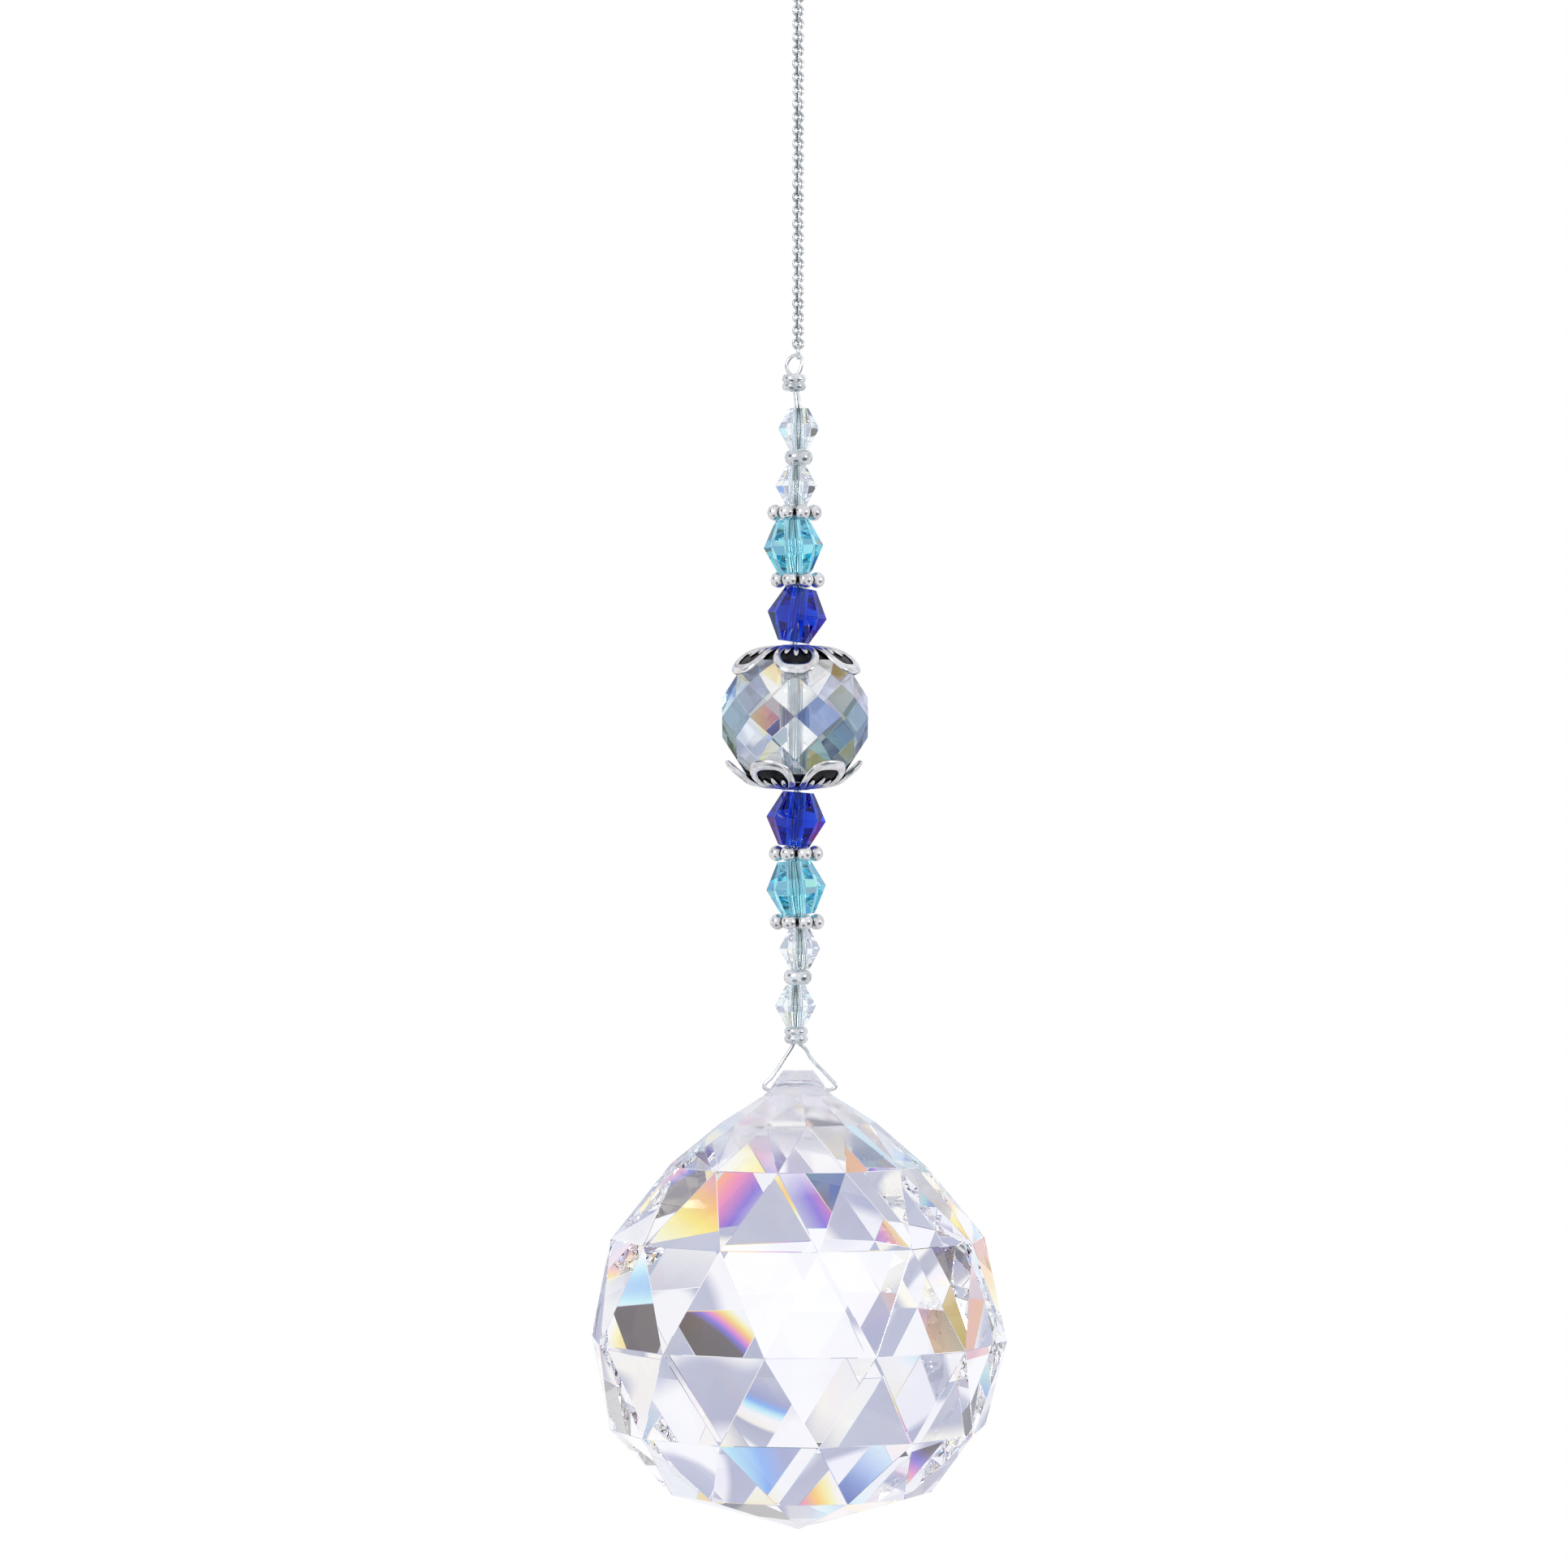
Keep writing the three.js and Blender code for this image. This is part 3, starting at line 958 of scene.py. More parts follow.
@dataclass
class Crimp(Piece):
    """A short tube squeezed round the doubled wire, with a crease round its waist."""

    crease: float = 0.16
    bore: float = 0.42
    steps: int = 40

    def shape(self) -> Shape:
        """Models the crimp.

        Returns:
            The crimp.
        """
        low, high = node_corners(self.node)
        half, radius = (high.z - low.z) / 2, (high.x - low.x) / 2
        waist = radius - self.crease
        upper = [
            (waist, 0.07 * half),
            (0.97 * radius, 0.22 * half),
            (radius, 0.5 * half),
            (0.86 * radius, 0.9 * half),
            (0.62 * radius, half),
            (self.bore, half),
        ]
        lower = [(reach, -height) for reach, height in reversed(upper)]
        tube = spun([*lower, *upper], self.steps)
        return placed(tube, Matrix.Translation(node_middle(self.node)))


@dataclass
class RoundBead(Piece):
    """A small round silver bead with a bore, and a lip round the bore."""

    bore: float = 0.6
    lip: float = 0.1
    bore_share: float = 0.9
    rings: int = 12
    steps: int = 48

    def shape(self) -> Shape:
        """Models the bead.

        Returns:
            The bead.
        """
        low, high = node_corners(self.node)
        half, radius = (high.z - low.z) / 2, (high.x - low.x) / 2
        bulge = radius - self.bore - self.lip
        outside: list[tuple[float, float]] = []
        for i in range(self.rings + 1):
            angle = math.pi * (i / self.rings - 0.5)
            outside.append((self.bore + self.lip + bulge * math.cos(angle), half * math.sin(angle)))
        bore_end = self.bore_share * half
        bead = spun([(self.bore, -bore_end), *outside, (self.bore, bore_end)], self.steps)
        return placed(bead, Matrix.Translation(node_middle(self.node)))


@dataclass
class DaisySpacer(Piece):
    """A ring of small balls cast round a low hub."""

    balls: int = 8
    ball_circle: float = 2.0
    ball_radius: float = 0.76
    hub: float = 1.5
    hub_height: float = 1.1
    round_off: float = 0.12
    bore: float = 0.8
    steps: int = 48

    def shape(self) -> Shape:
        """Models the spacer.

        Returns:
            The spacer.
        """
        half = self.hub_height / 2
        upper = [(self.hub, half - self.round_off), (self.hub - self.round_off, half), (self.bore, half)]
        lower = [(radius, -height) for radius, height in reversed(upper)]
        spacer = spun([*lower, *upper], self.steps)
        for i in range(self.balls):
            angle = (i + 0.5) * FULL_TURN / self.balls
            seat = Vector((math.sin(angle), -math.cos(angle), 0)) * self.ball_circle
            add_shape(spacer, ball(self.ball_radius, seat))
        return placed(spacer, Matrix.Translation(node_middle(self.node)))


@dataclass
class BeadCap(Piece):
    """A six-petalled openwork cap: bright rims and a leaf over a dark web of painted shade, on a dome.

    Its own heights count from the middle of the rondelle that it sits on. The dome has fallen by
    its fall at the petals' reach, and the higher its sharpness, the later it starts to.
    """

    flipped: bool = False
    petals: int = 6
    turned: float = 0.0
    reach: float = 6.8
    crown: float = 6.7
    fall: float = 3.0
    sharpness: float = 4.2
    rim: float = 0.34
    tip_rim: float = 0.55
    rim_height: float = 0.22
    web_depth: float = 0.12
    web: float = 0.1
    web_share: float = 0.9
    leaf_height: float = 0.8
    hub: float = 2.3
    hub_depth: float = 0.28
    collar_height: float = 0.27
    bore: float = 0.75
    steps: int = 48
    edge_steps: int = 9
    bar_sides: int = 12
    skirt_radii: tuple[float, ...] = (2.2, 3.4, 4.2, 4.7, 5.1)

    def dome(self, x: float, y: float, lift: float = 0.0) -> Vector:
        """Gives the dome's point over x across a petal and y along it, lifted off the dome."""
        drop = self.fall * (math.hypot(x, y) / self.reach) ** self.sharpness
        return Vector((x, y, self.crown - drop + lift))

    def dome_normal(self, point: Vector) -> Vector:
        """Gives the way the dome faces at a point.

        Args:
            point: the point, not on the dome's axis.

        Returns:
            The direction, one unit long.
        """
        radius = math.hypot(point.x, point.y)
        slope = self.fall * self.sharpness / self.reach * (radius / self.reach) ** (self.sharpness - 1)
        return Vector((slope * point.x / radius, slope * point.y / radius, 1)).normalized()

    def petal_edge(self) -> list[Vector]:
        """Lists a petal's right edge in plan, from the hub to the tip.

        Returns:
            The points of the edge.
        """
        side = [Vector((x, y, 0)) for x, y in ((0.55, 1.0), (1.1, 2.6), (2.45, 4.0), (2.2, 5.3))]
        tip = [Vector((x, y, 0)) for x, y in ((2.2, 5.3), (2.0, 6.4), (1.1, self.reach), (0, self.reach))]
        steps = self.edge_steps
        return [*interpolate_bezier(*side, steps), *interpolate_bezier(*tip, steps)[1:]]

    def on_dome(self, plan: Sequence[Vector], widths: Sequence[float], heights: Sequence[float]) -> Shape:
        """Lays an oval bar on the dome.

        Args:
            plan: its middle line in plan.
            widths: half its width, for each point.
            heights: half its height, for each point.

        Returns:
            The closed bar.
        """
        path = [self.dome(point.x, point.y) for point in plan]
        normals = [self.dome_normal(point) for point in path]
        return swept(path, normals, widths, heights, sides=self.bar_sides)

    def rim_bar(self) -> Shape:
        """Models the bright rim round a petal.

        Returns:
            The rim.
        """
        edge = self.petal_edge()
        outline = [*edge, *(Vector((-point.x, point.y, 0)) for point in reversed(edge[:-1]))]
        inset: list[Vector] = []
        widths: list[float] = []
        for i, point in enumerate(outline):
            along = outline[min(i + 1, len(outline) - 1)] - outline[max(i - 1, 0)]
            out_there = (point.y / self.reach) ** 4
            width = self.rim + (self.tip_rim - self.rim) * out_there
            inset.append(point + UP.cross(along.normalized()) * width)
            widths.append(width)
        return self.on_dome(inset, widths, [self.rim_height] * len(inset))

    def leaf(self) -> Shape:
        """Models the three lobes of the leaf inside a petal.

        Returns:
            The leaf.
        """
        leaf = bmesh.new()
        for lobe in (-1, 0, 1):
            root, tip = Vector((0.25 * lobe, 2.1, 0)), Vector((1.0 * lobe, 5.1 - 0.4 * abs(lobe), 0))
            plan = [root.lerp(tip, i / 8) for i in range(9)]
            widths = [0.14, 0.15, 0.16, 0.18, 0.2, 0.24, 0.27, 0.24, 0.1]
            add_shape(leaf, self.on_dome(plan, widths, [self.leaf_height * width for width in widths]))
        return leaf

    def petal_shade_web(self) -> Shape:
        """Models the thin dark web under a petal's rim, a sheet of painted shade that fills the petal's
        opening.

        Returns:
            The web.
        """
        edge = self.petal_edge()
        rows = len(edge) - 1
        inward = 1 - self.rim / self.reach
        web = bmesh.new()
        bmesh.ops.create_grid(web, x_segments=8, y_segments=rows, size=1.0)
        for vert in web.verts:
            spot = edge[round((vert.co.y + 1) / 2 * rows)]
            vert.co = self.dome(vert.co.x * spot.x * self.web_share, spot.y * inward, -self.web_depth)
        tidy(web, weld=0.001)
        bmesh.ops.solidify(web, geom=web.faces[:], thickness=self.web)
        return tidy(web)

    def hub_disc(self) -> Shape:
        """Models the round hub with its raised collar.

        Returns:
            The hub.
        """
        top, seat = self.crown + self.collar_height, self.crown - self.hub_depth
        profile = [
            (self.bore, seat),
            (self.hub, seat),
            (self.hub + 0.05, self.crown - 0.05),
            (self.hub - 0.2, self.crown + 0.05),
            (1.75, self.crown),
            (1.6, top - 0.08),
            (1.45, top),
            (self.bore + 0.1, top),
            (self.bore, top - 0.1),
        ]
        return spun(profile, self.steps)

    def shade_skirt(self) -> Shape:
        """Models the thin dark web between the petals, under their rims: painted shade in the gaps between
        them.

        Returns:
            The web.
        """
        outer = [self.dome(0, radius, -2 * self.web_depth) for radius in self.skirt_radii]
        inner = [point - UP * self.web for point in reversed(outer)]
        return spun([(point.y, point.z) for point in (*outer, *inner)], self.steps)

    def shape(self) -> Shape:
        """Models the cap in its place.

        Returns:
            The cap.
        """
        cap = self.hub_disc()
        # The skirt and the petal webs wear the second finish, a near-black painted shade.
        add_shape(cap, self.shade_skirt(), material_index=1)
        for i in range(self.petals):
            turn = Matrix.Rotation(i * FULL_TURN / self.petals + math.radians(self.turned), 4, "Z")
            add_shape(cap, placed(self.rim_bar(), turn))
            add_shape(cap, placed(self.leaf(), turn))
            add_shape(cap, placed(self.petal_shade_web(), turn), material_index=1)
        middle = node_middle(self.node)
        seat = Vector((middle.x, middle.y, node_middle("faceted_rondelle").z))
        flip = Matrix.Rotation(math.pi if self.flipped else 0.0, 4, "X")
        return placed(cap, Matrix.Translation(seat) @ flip)


@dataclass
class CutBead(Piece):
    """A glass bead cut in flat facets round a bore: it takes its facets from the frame.

    Corners of the frame's bead that lie past the bore by the margin belong to its outside.
    """

    bore: float = 0.6
    lean: float = 0.0
    chamfer: float = 0.06
    margin: float = 0.1

    shading = Shading.FACETED

    def shape(self) -> Shape:
        """Models the bead.

        Returns:
            The bead.
        """
        place = Matrix.Translation(node_middle(self.node))
        place = place @ Matrix.Rotation(math.radians(self.lean), 4, "Y")
        upright = place.inverted()
        corners = [upright @ point for point in node_points(self.node)]
        outer = [point for point in corners if math.hypot(point.x, point.y) > self.bore + self.margin]
        stone = chamfered(hull(outer), self.chamfer)
        low, high = node_corners(self.node)
        drill = cylinder(self.bore, 2 * (high.z - low.z), Matrix.Identity(4))
        return placed(combined(stone, drill, "DIFFERENCE"), place)


@dataclass(frozen=True)
class Patch:
    """A patch of the plating: its tone, and where it lies on the bead, to the right and up."""

    tone: float
    right: float
    up: float


PLATING = (
    Patch(0.0, -0.35, 0.6),
    Patch(0.02, 0.3, 0.65),
    Patch(0.45, 0.65, 0.4),
    Patch(0.75, 0.35, 0.05),
    Patch(1.0, 0.5, -0.45),
    Patch(0.88, 0.95, -0.05),
    Patch(0.6, -0.4, 0.0),
    Patch(0.3, -0.75, 0.35),
    Patch(0.3, -0.45, -0.5),
    Patch(0.12, 0.05, -0.6),
    Patch(0.88, -0.9, -0.2),
    Patch(0.15, 0.0, 0.0),
)


@dataclass
class PlatedBead(CutBead):
    """The faceted rondelle, plated in patches on its front half and nearly clear on its back."""

    squash: float = 0.8
    clear_tone: float = 0.15

    def tone(self, normal: Vector) -> float:
        """Picks the tone of the patch that lies nearest to where a facet faces.

        Args:
            normal: the way the facet faces.

        Returns:
            The tone, from 0 to 1.
        """
        if normal.y > 0:
            return self.clear_tone * (1 + normal.x)
        spot = Vector((normal.x, normal.z * self.squash))
        return min(PLATING, key=lambda patch: (Vector((patch.right, patch.up)) - spot).length).tone


@dataclass
class BallPrism(Piece):
    """The faceted ball with its short neck and the cross hole that the wire passes through.

    Its heights count from the ball's centre, and corners as near as this in height lie in one ring.
    """

    tip_depth: float = 18.8
    neck_foot: float = 22.9
    neck_sink: float = 1.0
    hole_height: float = 23.45
    hole: float = 0.6
    hole_length: float = 14.0
    chamfer: float = 0.07
    near: float = 0.05

    shading = Shading.FACETED

    def shape(self) -> Shape:
        """Models the ball.

        Returns:
            The ball, with its neck.
        """
        low, high = node_corners(self.node)
        centre = low.z + self.tip_depth
        foot = centre + self.neck_foot
        corners = node_points(self.node)
        body = hull([point for point in corners if point.z < foot + self.near])
        foot_ring = [point for point in corners if abs(point.z - foot) < self.near]
        sunk = [point - UP * self.neck_sink for point in foot_ring]
        neck_top = [point for point in corners if point.z > high.z - self.near]
        neck = hull([*neck_top, *foot_ring, *sunk])
        stone = combined(body, neck, "UNION")
        tidy(stone, weld=0.01)
        bmesh.ops.dissolve_limit(stone, angle_limit=ONE_FACET, verts=stone.verts[:], edges=stone.edges[:])
        stone = chamfered(stone, self.chamfer)
        across = Matrix.Translation((0, 0, centre + self.hole_height))
        across = across @ Matrix.Rotation(QUARTER_TURN, 4, "Y")
        return combined(stone, cylinder(self.hole, self.hole_length, across), "DIFFERENCE")


# ---- the studio ------------------------------------------------------------------------------


class Bands(Enum):
    """What a card on the tent's wall shows, from its one side to the other."""

    FIRE = (
        (0.0, (1.0, 1.0, 1.0)),
        (0.14, (1.0, 0.97, 0.6)),
        (0.3, (1.0, 0.85, 0.22)),
        (0.46, (1.0, 0.48, 0.16)),
        (0.6, (0.85, 0.26, 0.5)),
        (0.74, (0.26, 0.18, 0.72)),
        (0.86, (0.5, 0.52, 0.72)),
        (1.0, (0.75, 0.76, 0.86)),
    )
    ICE = (
        (0.0, (1.0, 1.0, 1.0)),
        (0.2, (0.6, 0.93, 1.0)),
        (0.38, (0.33, 0.5, 0.9)),
        (0.58, (0.1, 0.14, 0.46)),
        (0.8, (0.13, 0.28, 0.36)),
        (1.0, (0.4, 0.36, 0.36)),
    )
    ROSE = (
        (0.0, (0.92, 0.78, 0.68)),
        (0.4, (0.75, 0.4, 0.5)),
        (0.7, (0.85, 0.5, 0.3)),
        (1.0, (0.45, 0.55, 0.36)),
    )
    OLIVE = ((0.0, (0.85, 0.6, 0.3)), (0.5, (0.42, 0.36, 0.06)), (1.0, (0.42, 0.55, 0.45)))
    SMOKE = ((0.0, (0.3, 0.27, 0.28)), (0.5, (0.09, 0.075, 0.075)), (1.0, (0.16, 0.13, 0.13)))
    SHADE = ((0.0, (0.14, 0.15, 0.17)), (1.0, (0.26, 0.27, 0.31)))
    LAVENDER = ((0.0, (0.45, 0.48, 0.61)), (1.0, (0.6, 0.61, 0.71)))
    WHITE = ((0.0, (1.05, 1.05, 1.05)), (1.0, (1.02, 1.02, 1.05)))


@dataclass(frozen=True)
class Card:
    """A card on the tent's wall. Its angles, in degrees, count from straight behind the ball."""

    bands: Bands
    aside: float
    above: float
    reach: float
    turned: float = 0.0
    waves: float = 1.0


CARDS = (
    Card(Bands.WHITE, 0, -12, 13),
    Card(Bands.WHITE, 0, 8, 7),
    Card(Bands.LAVENDER, 30, -44, 7),
    Card(Bands.LAVENDER, -12, -36, 6, turned=50),
    Card(Bands.FIRE, 18, -38, 8, turned=60, waves=6),
    Card(Bands.FIRE, 27, -33, 5, turned=150, waves=3),
    Card(Bands.ICE, 12, -47, 4, turned=70, waves=2),
    Card(Bands.FIRE, 33, -46, 4, turned=10, waves=2),
    Card(Bands.FIRE, -2, -54, 5, turned=20, waves=3),
    Card(Bands.ICE, -28, -58, 9, turned=80, waves=3),
    Card(Bands.FIRE, 2, -36, 3, turned=120, waves=2),
    Card(Bands.ICE, -10, -40, 4, turned=30, waves=2),
    Card(Bands.ROSE, -17, -42, 3, turned=90, waves=2),
    Card(Bands.SMOKE, 37, -8, 4),
    Card(Bands.FIRE, 34, -15, 4, turned=200, waves=2),
    Card(Bands.FIRE, 17, 22, 4, turned=100, waves=2),
    Card(Bands.ICE, 9, 15, 4, turned=10, waves=2),
    Card(Bands.ICE, -1, 21, 5, turned=70, waves=3),
    Card(Bands.ICE, -21, 26, 6, turned=140, waves=3),
    Card(Bands.FIRE, 6, 31, 5, turned=170, waves=3),
    Card(Bands.SMOKE, -8, 28, 4, turned=60),
    Card(Bands.FIRE, -4, 34, 4, turned=200, waves=2),
    Card(Bands.ROSE, -44, -10, 9, turned=90, waves=4),
    Card(Bands.ROSE, -24, -5, 4, turned=20, waves=2),
    Card(Bands.OLIVE, -34, -8, 5, turned=30, waves=2),
    Card(Bands.FIRE, -52, 0, 5, turned=100, waves=3),
    Card(Bands.SMOKE, -22, -12, 2),
    Card(Bands.LAVENDER, 26, -27, 8, turned=40),
    Card(Bands.LAVENDER, 8, 1, 4),
    Card(Bands.LAVENDER, 25, 4, 6, turned=80),
    Card(Bands.LAVENDER, -10, 4, 5, turned=20),
    Card(Bands.LAVENDER, -18, 11, 5),
    Card(Bands.LAVENDER, -38, -28, 6, turned=60),
    Card(Bands.SMOKE, 47, -3, 4, turned=60),
    Card(Bands.WHITE, 22, -14, 5),
    Card(Bands.WHITE, -22, -24, 6),
    Card(Bands.LAVENDER, 8, -31, 4),
    Card(Bands.SHADE, 125, -15, 26),
    Card(Bands.SHADE, -150, -45, 24),
    Card(Bands.SHADE, -100, 25, 18),
)

# What the tent's wall glows with: mostly white, with lavender areas. Where it falls off to smoke or
# to lavender, it passes through the colours that crystal splits an edge of light into.
WALL: tuple[Stop, ...] = (
    (0.0, (0.13, 0.11, 0.11)),
    (0.08, (0.16, 0.13, 0.14)),
    (0.11, (0.25, 0.2, 0.7)),
    (0.14, (0.85, 0.3, 0.6)),
    (0.17, (1.0, 0.62, 0.2)),
    (0.2, (1.0, 0.93, 0.45)),
    (0.23, (1.0, 1.0, 1.0)),
    (0.33, (0.96, 0.96, 1.0)),
    (0.35, (0.5, 0.52, 0.66)),
    (0.42, (0.54, 0.56, 0.69)),
    (0.44, (1.0, 1.0, 1.0)),
    (0.6, (1.0, 1.0, 1.0)),
    (0.62, (0.58, 0.6, 0.73)),
    (0.7, (0.5, 0.52, 0.65)),
    (0.72, (1.0, 0.98, 0.9)),
    (0.78, (1.0, 1.0, 1.0)),
    (0.82, (0.6, 0.93, 1.0)),
    (0.86, (0.3, 0.5, 0.93)),
    (0.9, (0.42, 0.44, 0.66)),
    (1.0, (0.56, 0.58, 0.7)),
)


@dataclass
class Studio:
    """The camera, a plain floor and the soft light round the suncatcher, in metres.

    The cards hang inside the tent by the card gap, and fade out over the card edge, which is a
    share of their reach.
    """

    lens: float = 135.0
    sensor: float = 36.0
    distance: float = 0.565
    aim: tuple[float, float] = (-0.00136, -0.08332)
    ball_height: float = -0.136
    floor_height: float = -0.52
    floor_radius: float = 0.22
    tent_radius: float = 0.62
    card_gap: float = 0.005
    card_steps: int = 12
    card_edge: float = 0.25
    wall_scale: float = 9.0
    bounces: int = 32

    def camera(self) -> bpy.types.Object:
        """Sets up the camera, level and square to the front.

        Returns:
            The camera.
        """
        data = bpy.data.cameras.new("camera")
        data.lens = self.lens
        data.sensor_width = self.sensor
        data.clip_start = 0.01
        camera = bpy.data.objects.new("camera", data)
        side, height = self.aim
        camera.location = (side, -self.distance, height)
        camera.rotation_euler = (QUARTER_TURN, 0, 0)
        bpy.context.scene.collection.objects.link(camera)
        bpy.context.scene.camera = camera
        return camera

    def backdrop(self) -> None:
        """Makes what the camera sees behind the suncatcher plain white, and lets light go deep."""
        world = bpy.data.worlds.new("plain_white")
        world.use_nodes = True
        background = world.node_tree.nodes["Background"]
        background.inputs["Color"].default_value = (1, 1, 1, 1)
        background.inputs["Strength"].default_value = 1.0
        scene = bpy.context.scene
        scene.world = world
        scene.view_settings.view_transform = "Standard"
        scene.cycles.max_bounces = self.bounces
        scene.cycles.glossy_bounces = self.bounces
        scene.cycles.transmission_bounces = self.bounces

    def floor(self) -> bpy.types.Object:
        """Lays the plain pale floor below the suncatcher.

        Returns:
            The floor.
        """
        shape = bmesh.new()
        place = Matrix.Translation((0, 0, self.floor_height))
        bmesh.ops.create_circle(shape, cap_ends=True, segments=96, radius=self.floor_radius, matrix=place)
        material, board, shader = new_material("pale_floor")
        grey = board.ramp(board.noise(30.0), [(0.3, (0.84, 0.84, 0.85)), (0.7, (0.88, 0.88, 0.88))])
        board.join(grey, shader.inputs["Base Color"])
        shader.inputs["Roughness"].default_value = 0.7
        return self.set_up("floor", shape, material)

    def glow(self, name: str) -> tuple[bpy.types.Material, NodeBoard, bpy.types.Node]:
        """Starts a material that only glows.

        Args:
            name: its name.

        Returns:
            The material, its board and its glow.
        """
        material = bpy.data.materials.new(name)
        material.use_nodes = True
        material.node_tree.nodes.remove(material.node_tree.nodes["Principled BSDF"])
        board = NodeBoard(material.node_tree)
        glow = board.add("ShaderNodeEmission")
        board.join(glow.outputs["Emission"], material.node_tree.nodes["Material Output"].inputs["Surface"])
        return material, board, glow

    def tent(self) -> bpy.types.Object:
        """Hangs the soft light tent round the whole set, out of the camera's sight.

        Returns:
            The tent.
        """
        shape = bmesh.new()
        place = Matrix.Translation((0, 0, self.ball_height))
        bmesh.ops.create_icosphere(shape, subdivisions=5, radius=self.tent_radius, matrix=place)
        material, board, glow = self.glow("light_tent")
        noise = board.span(board.noise(self.wall_scale, detail=1.5, distortion=0.6), 0.0, 1.0)
        board.join(board.ramp(noise, WALL), glow.inputs["Color"])
        return self.set_up("light_tent", shape, material, seen=False)

    def card_shape(self, card: Card) -> Shape:
        """Models a card as a round patch of the tent's wall, with its bands and its soft edge.

        Args:
            card: the card.

        Returns:
            Its shape, in metres.
        """
        shape = bmesh.new()
        bmesh.ops.create_grid(shape, x_segments=self.card_steps, y_segments=self.card_steps, size=1.0)
        band = shape.verts.layers.float.new(BAND)
        fade = shape.verts.layers.float.new(FADE)
        for vert in shape.verts:
            vert[band] = card.waves * (0.5 + 0.5 * vert.co.y)
            vert[fade] = (1 - math.hypot(vert.co.x, vert.co.y)) / self.card_edge
        radius = self.tent_radius - self.card_gap
        spread = math.tan(math.radians(card.reach))
        lay = Matrix.Rotation(math.radians(card.turned), 4, "Z") @ Matrix.Scale(spread, 4)
        bmesh.ops.transform(shape, matrix=lay, verts=shape.verts[:])
        turn = Matrix.Rotation(math.radians(-card.aside), 4, "Z")
        turn = turn @ Matrix.Rotation(math.radians(card.above + 90), 4, "X")
        for vert in shape.verts:
            reach = Vector((vert.co.x, vert.co.y, -1)).normalized() * radius
            vert.co = turn @ reach + UP * self.ball_height
        return shape

    def cards(self, bands: Bands) -> bpy.types.Object:
        """Hangs all the cards of one kind.

        Args:
            bands: the kind.

        Returns:
            The cards, as one stage piece.
        """
        whole = bmesh.new()
        whole.verts.layers.float.new(BAND)
        whole.verts.layers.float.new(FADE)
        for card in CARDS:
            if card.bands is bands:
                add_shape(whole, self.card_shape(card))
        material, board, glow = self.glow(f"{bands.name.lower()}_card")
        board.join(board.ramp(board.swing(board.attribute(BAND)), bands.value), glow.inputs["Color"])
        clear = board.add("ShaderNodeBsdfTransparent")
        blend = board.add("ShaderNodeMixShader")
        board.join(board.attribute(FADE), blend.inputs["Fac"])
        board.join(clear.outputs["BSDF"], blend.inputs[1])
        board.join(glow.outputs["Emission"], blend.inputs[2])
        board.join(blend.outputs["Shader"], material.node_tree.nodes["Material Output"].inputs["Surface"])
        return self.set_up(f"{bands.name.lower()}_cards", whole, material, seen=False)

    def set_up(
        self, name: str, shape: Shape, material: bpy.types.Material, seen: bool = True
    ) -> bpy.types.Object:
        """Puts a stage piece in the scene.

        Args:
            name: its name.
            shape: its shape, in metres.
            material: what it is made of.
            seen: whether the camera sees it.

        Returns:
            The object.
        """
        mesh = bpy.data.meshes.new(name)
        shape.to_mesh(mesh)
        shape.free()
        mesh.materials.append(material)
        thing = bpy.data.objects.new(name, mesh)
        thing.visible_camera = seen
        bpy.context.scene.collection.objects.link(thing)
        return thing

    def lamp(self, name: str, place: Spot, size: float, power: float) -> bpy.types.Object:
        """Hangs a soft lamp that faces the suncatcher's middle.

        Args:
            name: its name.
            place: where it hangs.
            size: its side, in metres.
            power: its power, in watts.

        Returns:
            The lamp.
        """
        data = bpy.data.lights.new(name, "AREA")
        data.size = size
        data.energy = power
        lamp = bpy.data.objects.new(name, data)
        lamp.location = place
        aim = Vector((0, 0, self.aim[1])) - lamp.location
        lamp.rotation_euler = aim.to_track_quat("-Z", "Y").to_euler()
        lamp.visible_camera = False
        bpy.context.scene.collection.objects.link(lamp)
        return lamp

    def make(self) -> None:
        """Sets up the whole studio."""
        self.camera()
        self.backdrop()
        self.floor()
        self.tent()
        for bands in Bands:
            self.cards(bands)
        self.lamp("window_left", (-0.3, -0.35, 0.12), size=0.18, power=0.5)
        self.lamp("window_right", (0.38, -0.2, 0.0), size=0.08, power=0.2)


# ---- the suncatcher --------------------------------------------------------------------------


class Maker:
    """Keeps each finish's material, so that pieces of one finish share it."""

    def __init__(self) -> None:
        """Starts with no materials."""
        self.made: dict[str, bpy.types.Material] = {}

    def material(self, finish: MetalFinish | GlassFinish) -> bpy.types.Material:
        """Gives a finish's material, and makes it the first time.

        Args:
            finish: the finish.

        Returns:
            Its material.
        """
        if finish.name not in self.made:
            self.made[finish.name] = finish.material()
        return self.made[finish.name]

    def piece(
        self,
        kind: Callable[..., Piece],
        node: str,
        slot: Slot,
        *finishes: MetalFinish | GlassFinish,
        **sizes: object,
    ) -> bpy.types.Object:
        """Makes one piece, of some finishes and with some sizes that differ from its class's own."""
        return kind(node, slot, tuple(self.material(finish) for finish in finishes), **sizes).make()


# How far the beads lean, in degrees, and what the wire threads from the bottom crimp up.
LEANS = {"cobalt_bicone_1": 8.0, "sky_bicone_1": -3.0, "cobalt_bicone_2": 5.0, "sky_bicone_2": -5.0}
THREADED = (
    "clear_bicone_4",
    "round_bead_lower",
    "clear_bicone_3",
    "daisy_spacer_4",
    "sky_bicone_2",
    "daisy_spacer_3",
    "cobalt_bicone_2",
    "faceted_rondelle",
    "cobalt_bicone_1",
    "daisy_spacer_2",
    "sky_bicone_1",
    "daisy_spacer_1",
    "clear_bicone_2",
    "round_bead_upper",
    "clear_bicone_1",
)


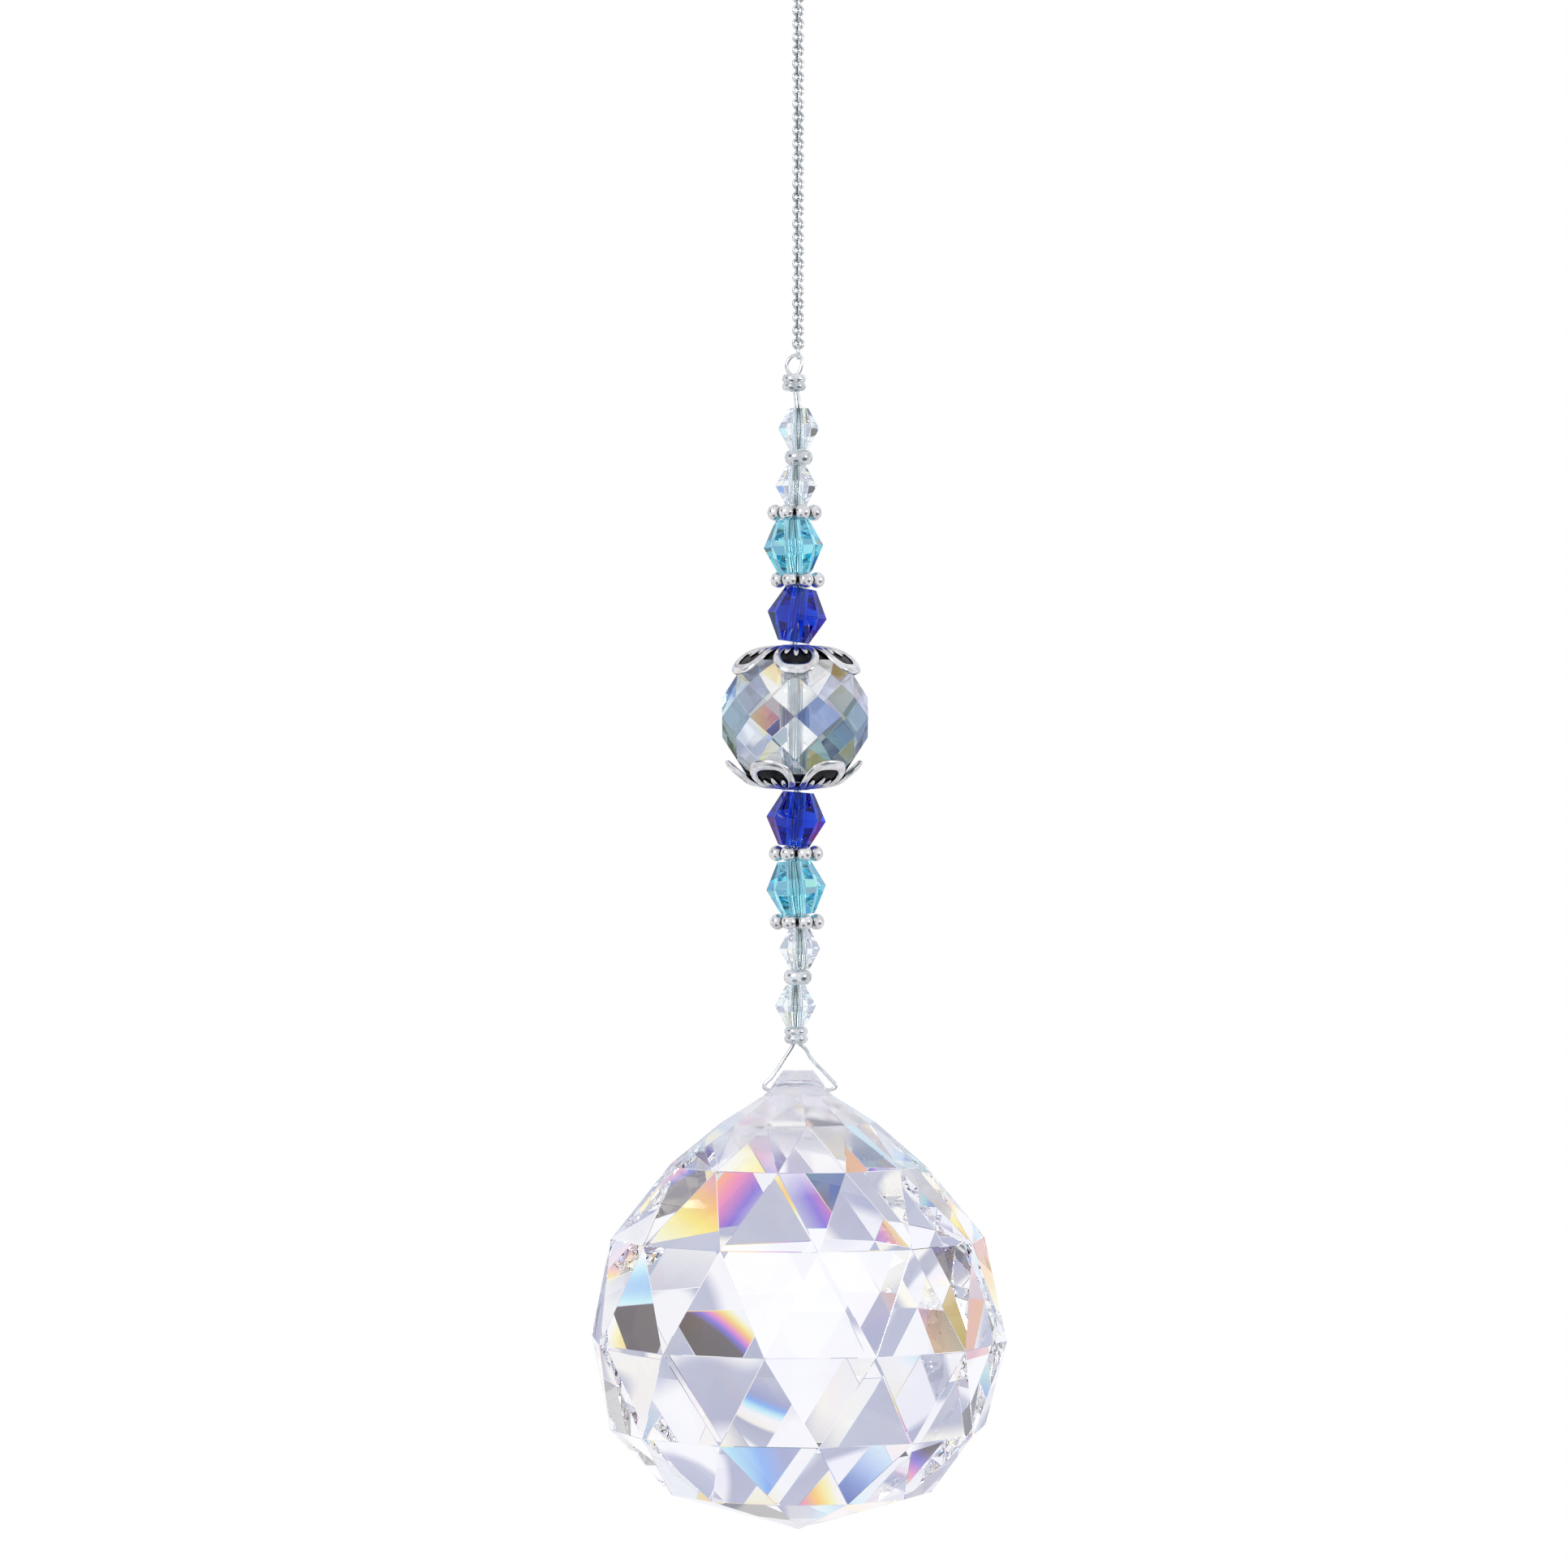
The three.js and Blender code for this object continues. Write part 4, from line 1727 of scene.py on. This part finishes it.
def make_metal(maker: Maker) -> None:
    """Makes the ring, the chain, the wire and everything cast or squeezed of silver.

    Args:
        maker: what keeps the materials.
    """
    plain = (Slot.SILVER, BRIGHT_SILVER)
    cast = (Slot.ANTIQUE_SILVER, ANTIQUE_SILVER)
    maker.piece(HangingRing, "hanging_ring", *plain)
    maker.piece(Chain, "chain", *plain)
    threaded = tuple((node, LEANS.get(node, 0.0)) for node in THREADED)
    maker.piece(BeadingWire, "beading_wire", *plain, threaded=threaded)
    for end in ("top", "bottom"):
        maker.piece(Crimp, f"{end}_crimp", *plain)
    for place in ("upper", "lower"):
        maker.piece(RoundBead, f"round_bead_{place}", *plain)
    for number in range(1, 5):
        maker.piece(DaisySpacer, f"daisy_spacer_{number}", *cast)
    # Each cap's second finish is the near-black painted shade of its webs.
    maker.piece(BeadCap, "bead_cap_upper", *cast, PAINTED_SHADE_WEB, turned=180.0)
    maker.piece(BeadCap, "bead_cap_lower", *cast, PAINTED_SHADE_WEB, flipped=True, turned=25.0)


def make_glass(maker: Maker) -> None:
    """Makes the glass beads, the rondelle and the ball prism.

    Args:
        maker: what keeps the materials.
    """
    clear = (Slot.CLEAR_GLASS, CLEAR_GLASS)
    for number in range(1, 5):
        maker.piece(CutBead, f"clear_bicone_{number}", *clear, bore=0.55, chamfer=0.05)
    for number in range(1, 3):
        for colour, slot, finish in (
            ("sky", Slot.SKY_GLASS, SKY_GLASS),
            ("cobalt", Slot.COBALT_GLASS, COBALT_GLASS),
        ):
            node = f"{colour}_bicone_{number}"
            maker.piece(CutBead, node, slot, finish, lean=LEANS[node])
    maker.piece(PlatedBead, "faceted_rondelle", Slot.PLATED_GLASS, PLATED_GLASS, bore=0.75, chamfer=0.05)
    maker.piece(BallPrism, "ball_prism", Slot.CRYSTAL, CRYSTAL)


def main() -> None:
    """Builds the studio and the suncatcher."""
    logging.basicConfig(level=logging.INFO, format="%(name)s: %(message)s")
    Studio().make()
    maker = Maker()
    make_metal(maker)
    make_glass(maker)


if __name__ == "__main__":
    main()
